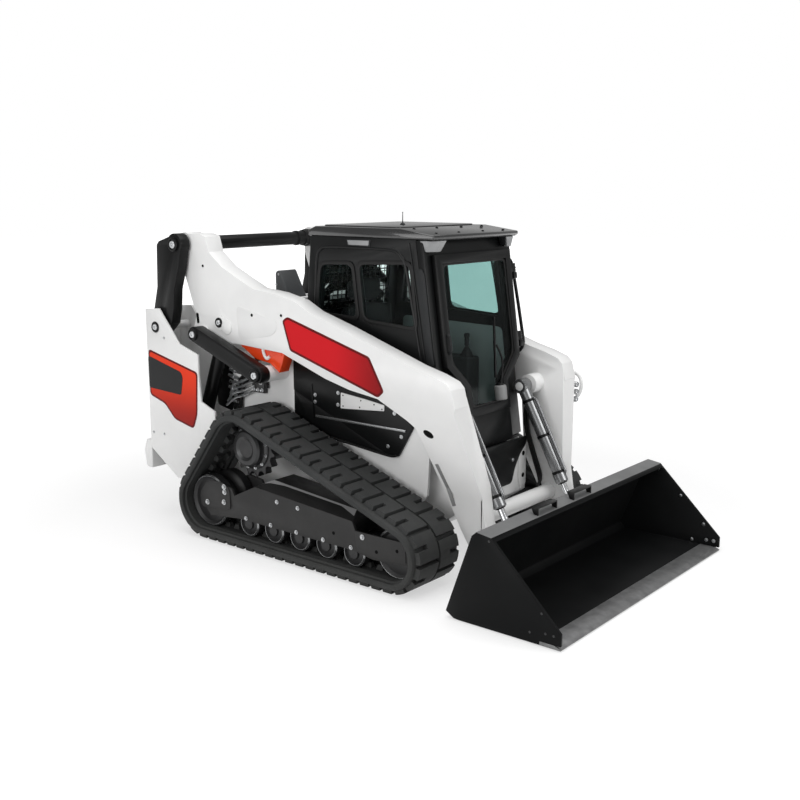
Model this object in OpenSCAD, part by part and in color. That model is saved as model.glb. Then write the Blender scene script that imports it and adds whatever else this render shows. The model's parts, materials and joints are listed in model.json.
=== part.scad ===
// Compact track loader with a vertical-path lift and a general-purpose bucket.
// Frame: +X forward, +Y to the machine's left, +Z up, ground at z = 0, millimetres.

/* [Undercarriage] */
// Width of one rubber track
track_w = 450; // [380:5:480]
// Gap from the frame's side walls to the tracks
track_in_y = 22; // [20:1:55]
// Thickness of the belt without its lugs
belt_t = 40; // [30:1:45]
// Height of a tread lug
lug_h = 30; // [20:1:34]
// Spacing of the tread lugs along the belt
lug_pitch = 90; // [88:1:120]
// Length of a lug along the belt
lug_len = 84; // [60:1:88]
// Place of the rear idler along the machine
rear_idler_x = -1040; // [-1060:5:-1000]
// Outer radius of the track at the rear idler
rear_idler_r = 250; // [240:1:260]
// Place of the front idler, behind the tub's front
front_idler_x = 77; // [70:1:130]
// Outer radius of the track at the front idler
front_idler_r = 228; // [215:1:240]
// Place of the drive sprocket along the machine
sprocket_x = -700; // [-720:5:-680]
// Height of the drive sprocket's axle
sprocket_z = 660; // [640:5:665]
// Outer radius of the track at the sprocket
sprocket_r = 272; // [260:1:275]
// Teeth on the sprocket
sprocket_teeth = 15; // [11:1:19]
// Track rollers on each side
roller_count = 5; // [4:1:5]
// Radius of a track roller
roller_r = 88; // [70:1:90]
// Place of the middle track roller, ahead of the middle between the idlers
roller_mid_x = 21.5; // [8:0.5:37]
// Spacing of the track rollers, as a share of the distance between the idlers
roller_pitch_share = 0.1404; // [0.128:0.001:0.146]
// Thickness of the track frame's side plates
track_plate_t = 20; // [14:1:26]

/* [Lift linkage] */
// Rear link's lower pivot, along the machine
link_a_x = -1630; // [-1640:1:-1610]
// Rear link's lower pivot, height
link_a_z = 1391; // [1370:1:1400]
// Rear link's upper pivot on the arm, along the machine
link_c_x = -1432; // [-1450:1:-1420]
// Rear link's upper pivot on the arm, height
link_c_z = 1972; // [1950:1:1990]
// Control link's front pivot on the frame, along the machine
ctrl_b_x = -659; // [-675:1:-645]
// Control link's front pivot on the frame, height
ctrl_b_z = 1146; // [1130:1:1160]
// Control link's rear pivot on the arm, along the machine
ctrl_d_x = -1262; // [-1275:1:-1250]
// Control link's rear pivot on the arm, height
ctrl_d_z = 1367; // [1355:1:1380]
// Bucket pivot, ahead of the tub's front
bucket_p_x = 310; // [300:1:315]
// Bucket pivot, height
bucket_p_z = 190; // [185:1:200]
// Gap from the frame's side walls to the lift arm's beam
arm_in_y = 45; // [40:1:55]
// Width of the lift arm's beam
arm_w = 135; // [130:1:145]
// Inner face of the arm's lower leg, in from the frame's side walls
leg_in_y = 90; // [80:1:92]
// Width of the arm's lower leg
leg_w = 100; // [90:1:104]
// Thickness of the rear and control links
link_w = 80; // [60:1:85]
// Diameter of the linkage pins
pin_d = 56; // [46:1:60]
// Diameter of the tube that joins the arms behind the cab
cross_tube_d = 98; // [80:1:110]

/* [Cylinders] */
// Lift cylinder's upper pin on the arm, along the machine
lift_e_x = -1095; // [-1105:1:-1085]
// Lift cylinder's upper pin on the arm, height
lift_e_z = 1453; // [1445:1:1460]
// Lift cylinder's lower pin, along the machine
lift_f_x = -1410; // [-1425:1:-1400]
// Lift cylinder's lower pin, height
lift_f_z = 610; // [600:1:640]
// Outside diameter of the lift cylinder
lift_barrel_d = 96; // [80:1:98]
// Diameter of the lift cylinder's rod
lift_rod_d = 50; // [40:1:56]
// Tilt cylinder's upper pin, behind the bucket pivot
tilt_g_x = 325; // [318:1:332]
// Tilt cylinder's upper pin, above the bucket pivot
tilt_g_z = 882; // [870:1:890]
// Tilt cylinder's lower pin, ahead of the bucket pivot
tilt_h_x = 80; // [72:1:85]
// Tilt cylinder's lower pin, above the bucket pivot
tilt_h_z = 127; // [122:1:135]
// Outside diameter of the tilt cylinder
tilt_barrel_d = 80; // [66:1:82]
// Diameter of the tilt cylinder's rod
tilt_rod_d = 44; // [34:1:48]
// Distance of the tilt cylinders inside the leg's inner face
tilt_y = 51; // [49:1:53]

/* [Bucket] */
// Width of the bucket
bucket_w = 2032; // [1980:1:2200]
// Reach of the bucket's lip ahead of its pivot
bucket_reach = 820; // [780:1:860]
// Height of the bucket's back
bucket_h = 533; // [500:1:560]
// Clearance under the bucket as it is parked
bucket_lift = 6; // [4:1:12]
// Thickness of the bucket's floor and back
bucket_t = 22; // [16:1:26]
// Thickness of the bucket's side plates
bucket_side_t = 18; // [12:1:24]
// Depth of the cutting edge, front to back
edge_d = 130; // [100:1:150]

/* [Frame] */
// Gap from the lower tub's sides to the arm's legs
tub_hw = 20; // [15:1:45]
// Ground clearance under the tub
tub_z = 240; // [220:1:260]
// Height of the tub's top, which carries the cab
deck_z = 700; // [690:1:705]
// Outer face of the frame's side walls, out from the cab's side
wall_y = 45; // [40:1:48]
// Thickness of the frame's side walls
wall_t = 20; // [12:1:22]
// Rear face of the towers
tower_rear_x = -1735; // [-1740:1:-1720]
// Thickness of a tower's outer plate
tower_t = 15; // [10:1:20]
// Height of the tower's top
tower_top_z = 1525; // [1500:1:1530]
// Rearmost point of the bumper
bumper_x = -1820; // [-1850:1:-1810]

/* [Cab] */
// Half width of the cab
cab_hw = 460; // [450:1:465]
// Thickness of the cab's walls
cab_t = 40; // [25:1:45]
// Rear of the cab at its base
cab_rear_x = -520; // [-530:1:-510]
// Height of the eaves, under the roof
cab_eave_z = 2050; // [2030:1:2060]
// Thickness of the roof
roof_t = 62; // [45:1:70]
// Front of the cab at the deck, behind the tub's front
cab_front_x = 29; // [25:1:35]
// Lean of the front of the cab, in degrees
cab_lean = 8; // [7.5:0.1:8.5]
// Thickness of the door
door_t = 40; // [30:1:42]
// Thickness of the glass
glass_t = 8; // [5:1:10]

/* [Hidden] */
$fn = 48;
hull_fn = 32;
// Overrun of every cut past the face that it opens
over = 30;
// Radial clearance of a pin in its bore
run_fit = 0.05;
// Gap of a piece at its seat
seat_fit = 0.3;
// Side clearance between moving plates
side_gap = 15;
// Side clearance at a pin's collar
collar_gap = 2;

// Rear end, length and front of the tub
tub_x = -1150;
tub_len = 1840;
tub_front = tub_x + tub_len;
nose_idler_x = tub_front - front_idler_x;
cab_nose_x = tub_front - cab_front_x;

// Layers across the machine, outwards from the cab's side
wall_out_y = cab_hw + wall_y;
beam_in_y = wall_out_y + arm_in_y;
belt_in_y = wall_out_y + track_in_y;
foot_in_y = wall_out_y - leg_in_y;
ram_y = foot_in_y - tilt_y;
tub_side_y = foot_in_y - tub_hw;
arm_out_y = beam_in_y + arm_w;
link_in_y = arm_out_y + side_gap;
link_out_y = link_in_y + link_w;
tower_gap = 16.5;
tower_in_y = link_out_y + tower_gap;
tower_out_y = tower_in_y + tower_t;
leg_out_y = foot_in_y + leg_w;
track_out_y = belt_in_y + track_w;
track_mid_y = belt_in_y + track_w / 2;
arm_mid_y = beam_in_y + arm_w / 2;

// Pivots in the side view
pa = [link_a_x, link_a_z];
pb = [ctrl_b_x, ctrl_b_z];
pc = [link_c_x, link_c_z];
pd = [ctrl_d_x, ctrl_d_z];
pe = [lift_e_x, lift_e_z];
pf = [lift_f_x, lift_f_z];
pp = [tub_front + bucket_p_x, bucket_p_z];
pg = pp + [-tilt_g_x, tilt_g_z];
ph = pp + [tilt_h_x, tilt_h_z];

// A point at shares of a box, and a whole outline of such points
function at(o, size, share) = [o[0] + size[0] * share[0], o[1] + size[1] * share[1]];
function outline(o, size, shares) = [for (s = shares) at(o, size, s)];
function along(p, q, t) = p + (q - p) / norm(q - p) * t;

// Plate with a side-view outline between two distances across the machine
module slab(pts, y0, y1) {
    translate([0, y1, 0])
        rotate([90, 0, 0])
            linear_extrude(y1 - y0)
                polygon(pts);
}

// Plate with a front-view outline between two places along the machine
module front_slab(pts, x0, x1) {
    translate([x0, 0, 0])
        rotate([90, 0, 90])
            linear_extrude(x1 - x0)
                polygon(pts);
}

// Round bar across the machine
module bar(p, d, y0, y1) {
    translate([p[0], y1, p[1]])
        rotate([90, 0, 0])
            cylinder(d = d, h = y1 - y0);
}

// Box from corner to corner
module box(a, b) {
    translate(a)
        cube(b - a);
}

// Round bar in the side view from p to q, starting t0 and ending t1 along it
module rod_bar(p, q, y, d, t0, t1) {
    ang = atan2(q[0] - p[0], q[1] - p[1]);
    translate([p[0], y, p[1]])
        rotate([0, ang, 0])
            translate([0, 0, t0])
                cylinder(d = d, h = t1 - t0);
}

module both() {
    children();
    mirror([0, 1, 0])
        children();
}

// Track loop: three circles joined by their outer tangents, run anticlockwise
loop_c = [[rear_idler_x, rear_idler_r], [nose_idler_x, front_idler_r], [sprocket_x, sprocket_z]];
loop_r = [for (r = [rear_idler_r, front_idler_r, sprocket_r]) r - lug_h];
function span(i) = loop_c[(i + 1) % 3] - loop_c[i];
function drop(i) = loop_r[i] - loop_r[(i + 1) % 3];
function heading(i) = atan2(span(i)[1], span(i)[0]) - acos(drop(i) / norm(span(i)));
function turn(a) = a < 0 ? turn(a + 360) : (a >= 360 ? turn(a - 360) : a);
function wrap(i) = turn(heading(i) - heading((i + 2) % 3));
function arc_l(i) = loop_r[i] * wrap(i) * PI / 180;
function run_l(i) = sqrt(norm(span(i)) * norm(span(i)) - drop(i) * drop(i));
function polar(r, a) = [r * cos(a), r * sin(a)];
function loop_at(s, off, i = 0) =
    s <= arc_l(i) ? loop_c[i] + polar(loop_r[i] + off, heading((i + 2) % 3) + s / loop_r[i] * 180 / PI)
    : s <= arc_l(i) + run_l(i) ? loop_c[i] + polar(loop_r[i] + off, heading(i))
        + polar(s - arc_l(i), heading(i) + 90)
    : loop_at(s - arc_l(i) - run_l(i), off, (i + 1) % 3);
loop_len = arc_l(0) + run_l(0) + arc_l(1) + run_l(1) + arc_l(2) + run_l(2);
lug_count = round(loop_len / lug_pitch);
lug_step = loop_len / lug_count;
lug_foot_share = 0.5;
lug_top_share = 0.42;
lug_stagger_share = 0.5;
arc_steps = 14;

function tread(shift) = [for (k = [0 : lug_count - 1], f = [[-lug_foot_share, 0], [-lug_top_share, lug_h],
    [lug_top_share, lug_h], [lug_foot_share, 0]])
    loop_at((k + lug_foot_share + shift) * lug_step + f[0] * lug_len, f[1])];
function belt_inside() = [for (i = [0 : 2], k = [0 : arc_steps - 1])
    loop_c[i] + polar((loop_r[i] - belt_t) / cos(wrap(i) / arc_steps / 2),
        heading((i + 2) % 3) + wrap(i) * (k + 0.5) / arc_steps)];

module tracks() {
    color("#2e3030")
        both()
            difference() {
                union() {
                    slab(tread(0), belt_in_y, track_mid_y);
                    slab(tread(lug_stagger_share), track_mid_y, track_out_y);
                }
                slab(belt_inside(), belt_in_y - over, track_out_y + over);
            }
}

// Track frame: two side plates with a box between them over the rollers, sloping down to the outside
frame_inset_share = 0.171;
frame_in_y = belt_in_y + frame_inset_share * track_w;
frame_out_y = track_out_y - frame_inset_share * track_w;
wheel_in_y = frame_in_y + track_plate_t + seat_fit;
wheel_out_y = frame_out_y - track_plate_t - seat_fit;
roller_z = belt_t + lug_h + roller_r + seat_fit;
roller_top = roller_z + roller_r;
beam_gap = 12;
tooth_r = sprocket_r - lug_h - belt_t - seat_fit;
frame_len = nose_idler_x - rear_idler_x;
roller_step = roller_pitch_share * frame_len;
roller_x0 = (nose_idler_x + rear_idler_x) / 2 + roller_mid_x - roller_step * (roller_count - 1) / 2;
frame_h = sprocket_z - tooth_r - beam_gap - roller_z;
plate_o = [rear_idler_x, roller_z];
plate_shares = [[-0.045, 0.40], [0.002, 0.70], [0.075, 0.84], [0.150, 0.78], [0.165, 0.62], [0.286, 0.957],
    [0.34, 0.94], [0.80, 0.74], [0.815, 0.55], [1.05, 0.515], [1.075, 0.086], [0.90, 0.017], [0.80, 0.103],
    [0.20, 0.103], [0.02, 0]];
beam_foot = roller_top + beam_gap;
beam_out_shares = [[0.27, 0.90], [0.286, 0.957], [0.34, 0.94], [0.80, 0.74]];
beam_in_shares = [[0.30, 1.02], [0.334, 1.10], [0.37, 1.08], [0.779, 0.88]];
beam_top_share = 0.68;
axle_d = 60;

function beam_pts(shares) = concat(outline(plate_o, [frame_len, frame_h], shares),
    [[at(plate_o, [frame_len, frame_h], shares[3])[0], beam_foot],
    [at(plate_o, [frame_len, frame_h], shares[0])[0], beam_foot]]);

module track_frames() {
    top_y = frame_in_y + (frame_out_y - frame_in_y) * beam_top_share;
    side_pts = outline(plate_o, [frame_len, frame_h], plate_shares);
    color("#474849")
        both() {
            slab(side_pts, frame_in_y, frame_in_y + track_plate_t);
            slab(side_pts, frame_out_y - track_plate_t, frame_out_y);
            hull() {
                slab(beam_pts(beam_out_shares), frame_out_y - track_plate_t, frame_out_y - track_plate_t / 2);
                slab(beam_pts(beam_in_shares), frame_in_y + track_plate_t / 2, top_y);
            }
        }
}

module rollers() {
    color("#3a3b3c")
        both()
            for (k = [0 : roller_count - 1])
                bar([roller_x0 + k * roller_step, roller_z], 2 * roller_r, wheel_in_y, wheel_out_y);
}

module idler(x, r) {
    bar([x, r], 2 * (r - lug_h - belt_t - seat_fit), wheel_in_y, wheel_out_y);
}

module idlers() {
    color("#3a3b3c")
        both() {
            idler(rear_idler_x, rear_idler_r);
            idler(nose_idler_x, front_idler_r);
        }
}

// Sprocket: toothed ring on the drive motor's hub
tooth_root_share = 0.86;
tooth_shares = [[0, 0], [0.32, 0], [0.55, 1], [0.77, 1]];
ring_w = 90;
hub_d = 250;
cap_d = 176;
cap_reach = 126;
function sprocket_pts() = [for (k = [0 : sprocket_teeth - 1], f = tooth_shares) [sprocket_x, sprocket_z]
    + polar(f[1] == 0 ? tooth_root_share * tooth_r : tooth_r, (k + f[0]) * 360 / sprocket_teeth)];

module sprockets() {
    hub_p = [sprocket_x, sprocket_z];
    color("#343536")
        both() {
            slab(sprocket_pts(), track_mid_y - ring_w / 2, track_mid_y + ring_w / 2);
            bar(hub_p, hub_d, plate_y + wall_t, track_mid_y + ring_w);
            bar(hub_p, cap_d, track_mid_y, track_mid_y + cap_reach);
        }
}

// Main frame: a tub between the tracks, side walls beside the cab and an engine tray
plate_step = 5;
plate_y = wall_out_y - plate_step;
tub_shares = [[0, 0.20], [0.10, 0], [0.90, 0], [1, 0.28], [1, 0.86], [0.94, 1], [0, 1]];
sill_z = 560;
sill_back = 240;
sill_x = tub_front - sill_back;
tray_shares = [[0, 0.72], [0.44, 0.05], [1, 0], [1, 1], [0, 1]];
tray_z = 300;
tray_top = 520;
tower_front_x = -560;
cross_back = [1070, 470];
cross_z = 330;
cross_d = 130;
wall_shares = [[0, 0], [0, 1], [0.70, 0.82], [0.86, 0.72], [0.985, 0.55], [1, 0.30], [0.985, -0.10],
    [0.90, -0.30], [0.62, -0.30], [0.50, 0]];
wall_h = 670;
wall_reach = 120;

module main_frame() {
    color("#e4e4e2") {
        slab(outline([tub_x, tub_z], [tub_len, deck_z - tub_z], tub_shares), -tub_side_y, tub_side_y);
        box([tub_x, -plate_y, sill_z], [tower_front_x, plate_y, deck_z]);
        box([tower_front_x, -wall_out_y, sill_z], [sill_x, wall_out_y, deck_z]);
        slab(outline([tower_rear_x, tray_z], [tub_x - tower_rear_x, tray_top - tray_z], tray_shares),
            -plate_y, plate_y);
        for (back = cross_back)
            bar([tub_front - back, cross_z], cross_d, -frame_in_y, frame_in_y);
        both()
            slab(outline([tower_front_x, sill_z], [sill_x + wall_reach - tower_front_x, wall_h], wall_shares),
                wall_out_y - wall_t, wall_out_y);
    }
}

// Rear towers: an outer and an inner plate that hold the links and the lift cylinders
tower_len = tower_front_x - tower_rear_x;
tower_h = tower_top_z - tray_z;
outer_shares = [[0, 0.17], [0, 0.99], [0.125, 1], [0.298, 0.81], [0.463, 0.763], [0.464, 0.653],
    [0.478, 0.498], [0.595, 0.455], [0.595, 0.34], [0.457, 0.16], [0.345, 0.03], [0.245, 0.02]];
inner_shares = [[0, 0.18], [0, 0.99], [0.125, 1], [0.298, 0.81], [0.463, 0.775], [1, 0.76],
    [1, 0.22], [0.5, 0.18]];
boss_d = 110;
collar_d = 84;
collar_t = 8;
post_shares = [0.20, 0.97];
hinge_behind = 35;
hinge_aside = 8;
hinge_x = tower_rear_x - hinge_behind;
hinge_y = plate_y + hinge_aside;
hinge_pin_d = 22;
knuckle_d = 44;
lug_z = [620, 1400];
lug_t = 30;

module rear_towers() {
    color("#e8e8e6") {
        both() {
            slab(outline([tower_rear_x, tray_z], [tower_len, tower_h], outer_shares),
                tower_in_y, tower_out_y);
            slab(outline([tower_rear_x, tray_z], [tower_len, tower_h], inner_shares),
                plate_y, plate_y + wall_t);
            box([tower_rear_x, plate_y, tray_z + post_shares[0] * tower_h],
                [tower_rear_x + wall_t, tower_out_y, tray_z + post_shares[1] * tower_h]);
            bar(pa, pin_d, plate_y, tower_out_y);
            bar(pb, boss_d, plate_y, link_in_y - collar_gap);
            bar(pb, pin_d, plate_y, link_out_y + collar_gap);
            bar(pb, collar_d, link_out_y + collar_gap, link_out_y + collar_gap + collar_t);
            bar(pf, pin_d, plate_y, arm_out_y);
        }
        for (z = lug_z)
            box([hinge_x - knuckle_d / 2, hinge_y - knuckle_d / 2, z],
                [tower_rear_x + wall_t, hinge_y + knuckle_d / 2, z + lug_t]);
        translate([hinge_x, hinge_y, lug_z[0]])
            cylinder(d = hinge_pin_d, h = lug_z[1] + lug_t - lug_z[0]);
    }
}

// Black side covers under the lift arms
cover_t = 24;
cover_shares = [[0, 0.62], [0, 1], [0.20, 0.99], [0.86, 0.66], [1, 0.40], [0.885, 0.02], [0.82, 0],
    [0.25, 0.43]];
cover_z = 700;
cover_h = 530;
cover_reach = 6;
cover_len = sill_x + cover_reach - tower_front_x;

module side_panels() {
    color("#1d1e1f")
        both()
            slab(outline([tower_front_x, cover_z], [cover_len, cover_h], cover_shares),
                wall_out_y, wall_out_y + cover_t);
}

// Engine block on its tray
engine_x = [-1480, -640];
engine_in = 220;
engine_top = 1130;

module engine() {
    color("#3f4244")
        slab([[engine_x[0], tray_top], [tub_x, tray_top], [tub_x, deck_z], [engine_x[1], deck_z],
            [engine_x[1], engine_top], [engine_x[0], engine_top]], engine_in - plate_y, plate_y - engine_in);
}

// Hood over the engine bay, falling to the rear
hood_front_z = 1640;
hood_rear_z = 1500;
hood_skirt_z = 1180;
hood_t = 20;
hood_x0 = tower_rear_x + wall_t;
hood_x1 = tower_front_x;
function hood_z(x) = hood_rear_z + (x - hood_x0) * (hood_front_z - hood_rear_z) / (hood_x1 - hood_x0);

module hood() {
    color("#dcdcda")
        difference() {
            slab([[hood_x0, hood_skirt_z], [hood_x1, hood_skirt_z], [hood_x1, hood_front_z],
                [hood_x0, hood_rear_z]], -plate_y, plate_y);
            slab([[hood_x0 + hood_t, hood_skirt_z - over], [hood_x1 - hood_t, hood_skirt_z - over],
                [hood_x1 - hood_t, hood_z(hood_x1 - hood_t) - hood_t],
                [hood_x0 + hood_t, hood_z(hood_x0 + hood_t) - hood_t]], hood_t - plate_y, plate_y - hood_t);
        }
}

// Air intake box on the right of the hood
intake_x = [-902, -766];
intake_in = [160, 325];
intake_h = 182;
intake_shares = [[0, 0.86], [0.06, 0.96], [0.23, 1], [0.30, 0.97]];

module intake_box() {
    w = intake_x[1] - intake_x[0];
    color("#3c3f41")
        slab(concat([[intake_x[1], hood_z(intake_x[1])], [intake_x[0], hood_z(intake_x[0])]],
            outline([intake_x[0], hood_z(intake_x[1])], [w, intake_h], intake_shares)),
            intake_in[0] - plate_y, intake_in[1] - plate_y);
}

// Bumper across the rear
bumper_shares = [[0, 0.62], [0.35, 1], [1, 1], [1, 0], [0.30, 0], [0.16, 0.14]];
bumper_z = 350;
bumper_h = 210;

module rear_bumper() {
    color("#e4e4e2")
        slab(outline([bumper_x, bumper_z], [tower_rear_x - bumper_x, bumper_h], bumper_shares),
            -tower_out_y, tower_out_y);
}

// Tailgate on a vertical hinge at the left tower
gate_t = 46;
gate_z = [590, 1470];
gate_gap = 12;
louvre_count = 9;
louvre_t = 14;
louvre_h = 22;
louvre_y_shares = [0.16, 0.84];
louvre_z_shares = [0.30, 0.92];
function gate_at(ends, share) = ends[0] + (ends[1] - ends[0]) * share;

// Slanted louvre across the tailgate
module louvre(z) {
    across = [gate_gap - plate_y, hinge_y - knuckle_d / 2 - gate_gap];
    x = hinge_x - gate_t / 2;
    slab([[x + louvre_t, z - louvre_h / 2], [x + louvre_t, z + louvre_h / 2], [x, z + louvre_h / 2],
        [x - louvre_t, z - louvre_h / 2]],
        gate_at(across, louvre_y_shares[0]), gate_at(across, louvre_y_shares[1]));
}

module tailgate() {
    color("#26282a")
        difference() {
            union() {
                box([hinge_x - gate_t / 2, gate_gap - plate_y, gate_z[0]],
                    [hinge_x + gate_t / 2, hinge_y - knuckle_d / 2 - gate_gap, gate_z[1]]);
                translate([hinge_x, hinge_y, lug_z[0] + lug_t + seat_fit])
                    cylinder(d = knuckle_d, h = lug_z[1] - lug_z[0] - lug_t - 2 * seat_fit);
                box([hinge_x - knuckle_d / 4, hinge_y - knuckle_d, lug_z[0] + lug_t + seat_fit],
                    [hinge_x + knuckle_d / 4, hinge_y, lug_z[1] - seat_fit]);
                for (k = [0 : louvre_count - 1])
                    louvre(gate_at(gate_z, gate_at(louvre_z_shares, k / (louvre_count - 1))));
            }
            translate([hinge_x, hinge_y, lug_z[0]])
                cylinder(d = hinge_pin_d + 2 * run_fit, h = lug_z[1] - lug_z[0]);
        }
}

// Lift arm: a beam from the rear pivot to the knee, a slanted knee and a lower leg
arm_size = [pp[0] - pc[0], pc[1] - pp[1]];
arm_o = [pc[0], pp[1]];
beam_arm_shares = [[-0.02, 0.94], [0.003, 0.856], [0.028, 0.765], [0.041, 0.733], [0.023, 0.66],
    [0.042, 0.623], [0.204, 0.635], [0.381, 0.623], [0.537, 0.552], [0.62, 0.525], [0.714, 0.509],
    [0.811, 0.45], [0.838, 0.428], [0.951, 0.50], [0.954, 0.515], [0.947, 0.548], [0.942, 0.574],
    [0.928, 0.593], [0.888, 0.612], [0.829, 0.632], [0.751, 0.667], [0.595, 0.736], [0.484, 0.78],
    [0.432, 0.815], [0.356, 0.837], [0.277, 0.847], [0.221, 0.879], [0.152, 0.921], [0.10, 0.974],
    [0.087, 1.031], [0.065, 1.041], [0, 1.04]];
knee_shares = [[0.812, 0.50], [0.838, 0.428], [0.951, 0.50], [0.947, 0.548], [0.87, 0.56]];
leg_top_shares = [[0.862, 0.235], [0.9845, 0.235], [0.9885, 0.20], [0.876, 0.20]];
leg_shares = [[0.862, 0.235], [0.9845, 0.235], [0.9893, 0.193], [0.9984, 0.117], [1.028, 0.02],
    [1.0, -0.04], [0.972, -0.02], [0.925, 0.08], [0.876, 0.20]];
arm_boss_d = 160;
foot_boss_d = 150;
fork_t = 12;
fork_reach = 170;
stud_t = 9;
gusset_d = 130;

module lift_arm() {
    difference() {
        union() {
            slab(outline(arm_o, arm_size, beam_arm_shares), beam_in_y, arm_out_y);
            bar(pc, arm_boss_d, beam_in_y, arm_out_y);
            hull($fn = hull_fn) {
                slab(outline(arm_o, arm_size, knee_shares), beam_in_y, arm_out_y);
                slab(outline(arm_o, arm_size, leg_top_shares), foot_in_y, leg_out_y);
            }
            slab(outline(arm_o, arm_size, leg_shares), foot_in_y, leg_out_y);
            bar(pp, foot_boss_d, foot_in_y, leg_out_y);
            bar(pg, gusset_d, foot_in_y + side_gap, beam_in_y + side_gap);
            bar(pe, boss_d, beam_in_y, arm_out_y + stud_t);
            bar(pd, boss_d, beam_in_y, arm_out_y + stud_t);
        }
        slab([[pe[0] + fork_reach, pd[1] - 2 * boss_d], [pe[0] + fork_reach, pe[1] + fork_reach],
            [pc[0] - boss_d, pe[1] + fork_reach], [pc[0] - boss_d, pd[1] - 2 * boss_d]],
            beam_in_y + fork_t, arm_out_y - fork_t);
        bar(pp, pin_d + 2 * run_fit, foot_in_y - over, leg_out_y + over);
    }
    bar(pc, pin_d, beam_in_y, link_out_y + collar_gap);
    bar(pc, collar_d, link_out_y + collar_gap, link_out_y + collar_gap + collar_t);
    bar(pg, pin_d, ram_y - tilt_eye_w / 2 - collar_gap, beam_in_y);
}

module lift_arms() {
    color("#ececea")
        both()
            lift_arm();
}

module cross_tube() {
    color("#1b1c1d")
        bar(pc, cross_tube_d, -beam_in_y, beam_in_y);
}

// Tube that joins the legs low down
beam_share = [0.946, 0.106];
cross_beam_d = 100;

module cross_beam() {
    color("#c9c9c7")
        bar(at(arm_o, arm_size, beam_share), cross_beam_d, -foot_in_y, foot_in_y);
}

// Arm brace: an orange channel stowed under the right arm, clear of the control link's front pivot
brace_w = 90;
brace_shares = [[0.204, 0.635], [0.381, 0.623]];
brace_tip = [[133, 84], [103, 14], [19, 69], [-121, 85]];

module arm_brace() {
    color("#f4401c")
        slab(concat(outline(arm_o, arm_size, brace_shares), [for (d = brace_tip) pb + d]),
            -arm_mid_y - brace_w / 2, brace_w / 2 - arm_mid_y);
}

// Auxiliary couplers on the outside of the left knee
coupler_share = [0.862, 0.455];
coupler_block = [110, 60, 150];
coupler_d = 36;
coupler_len = 70;

module aux_couplers() {
    c = at(arm_o, arm_size, coupler_share);
    color("#2a2c2d") {
        box([c[0], arm_out_y, c[1] - coupler_block[2] / 2],
            [c[0] + coupler_block[0], arm_out_y + coupler_block[1], c[1] + coupler_block[2] / 2]);
        for (k = [-1 : 1])
            translate([c[0] + coupler_block[0], arm_out_y + coupler_block[1] / 2,
                c[1] + k * coupler_block[2] / 3])
                rotate([0, 90, 0])
                    cylinder(d = coupler_d, h = coupler_len);
    }
}

// Links
rear_head_d = 150;
rear_foot_d = 130;
ctrl_head_d = 104;
ctrl_foot_d = 112;
rear_shares = [[0.05, 0.985], [0.17, 1.03], [0.944, 1.112], [1.237, 1.085], [1.34, 0.98], [1.177, 0.735],
    [0.899, 0.465], [0.838, 0.229], [0.707, 0.057], [0.314, -0.06], [-0.20, -0.05], [-0.253, 0.188],
    [-0.01, 0.482]];

module rear_links() {
    color("#1f2021")
        both()
            difference() {
                union() {
                    slab(outline(pa, pc - pa, rear_shares), link_in_y, link_out_y);
                    bar(pc, rear_head_d, link_in_y, link_out_y);
                    bar(pa, rear_foot_d, link_in_y, link_out_y);
                }
                bar(pc, pin_d + 2 * run_fit, link_in_y - over, link_out_y + over);
                bar(pa, pin_d + 2 * run_fit, link_in_y - over, link_out_y + over);
            }
}

module control_links() {
    color("#1f2021")
        both()
            difference() {
                union() {
                    hull($fn = hull_fn) {
                        bar(pd, ctrl_head_d, link_in_y, link_out_y);
                        bar(pb, ctrl_foot_d, link_in_y, link_out_y);
                    }
                    bar(pd, collar_d, link_in_y, link_out_y + collar_t);
                }
                bar(pb, pin_d + 2 * run_fit, link_in_y - over, link_out_y + over);
            }
}

// Cylinders: a hollow barrel on its base pin and a rod with an eye
eye_d = 110;
lift_eye_w = 90;
lift_rest = norm(pe - pf);
lift_gland_share = 0.84;
lift_cap_share = 0.08;
lift_foot_share = 0.09;
lift_top_d = 84;

module cylinder_barrel(p, q, y, d, rod_d, eye, eye_w, cap, gland) {
    difference() {
        union() {
            bar(p, eye, y - eye_w / 2, y + eye_w / 2);
            rod_bar(p, q, y, d, 0, gland);
        }
        bar(p, pin_d + 2 * run_fit, y - eye_w / 2 - over, y + eye_w / 2 + over);
        rod_bar(p, q, y, rod_d + 2 * run_fit, cap, gland + over);
    }
}

module cylinder_rod(p, q, y, rod_d, eye, eye_w, foot, rest) {
    rod_bar(p, q, y, rod_d, foot, rest);
    bar(q, eye, y - eye_w / 2, y + eye_w / 2);
}

module lift_barrels() {
    color("#1c1d1e")
        both()
            cylinder_barrel(pf, pe, arm_mid_y, lift_barrel_d, lift_rod_d, eye_d, lift_eye_w,
                lift_cap_share * lift_rest, lift_gland_share * lift_rest);
}

module lift_rods() {
    color("#c8ccce")
        both()
            cylinder_rod(pf, pe, arm_mid_y, lift_rod_d, lift_top_d, lift_eye_w,
                lift_foot_share * lift_rest, lift_rest);
}

tilt_rest = norm(ph - pg);
tilt_eye_d = 96;
tilt_eye_w = 84;
tilt_foot_w = 46;
tilt_foot_d = 68;
tilt_gland_share = 0.80;
tilt_cap_share = 0.10;
tilt_start_share = 0.18;

module tilt_barrels() {
    color("#8d9092")
        both()
            cylinder_barrel(pg, ph, ram_y, tilt_barrel_d, tilt_rod_d, tilt_eye_d, tilt_eye_w,
                tilt_cap_share * tilt_rest, tilt_gland_share * tilt_rest);
}

module tilt_rods() {
    color("#c8ccce")
        both()
            cylinder_rod(pg, ph, ram_y, tilt_rod_d, tilt_foot_d, tilt_foot_w,
                tilt_start_share * tilt_rest, tilt_rest);
}

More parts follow.
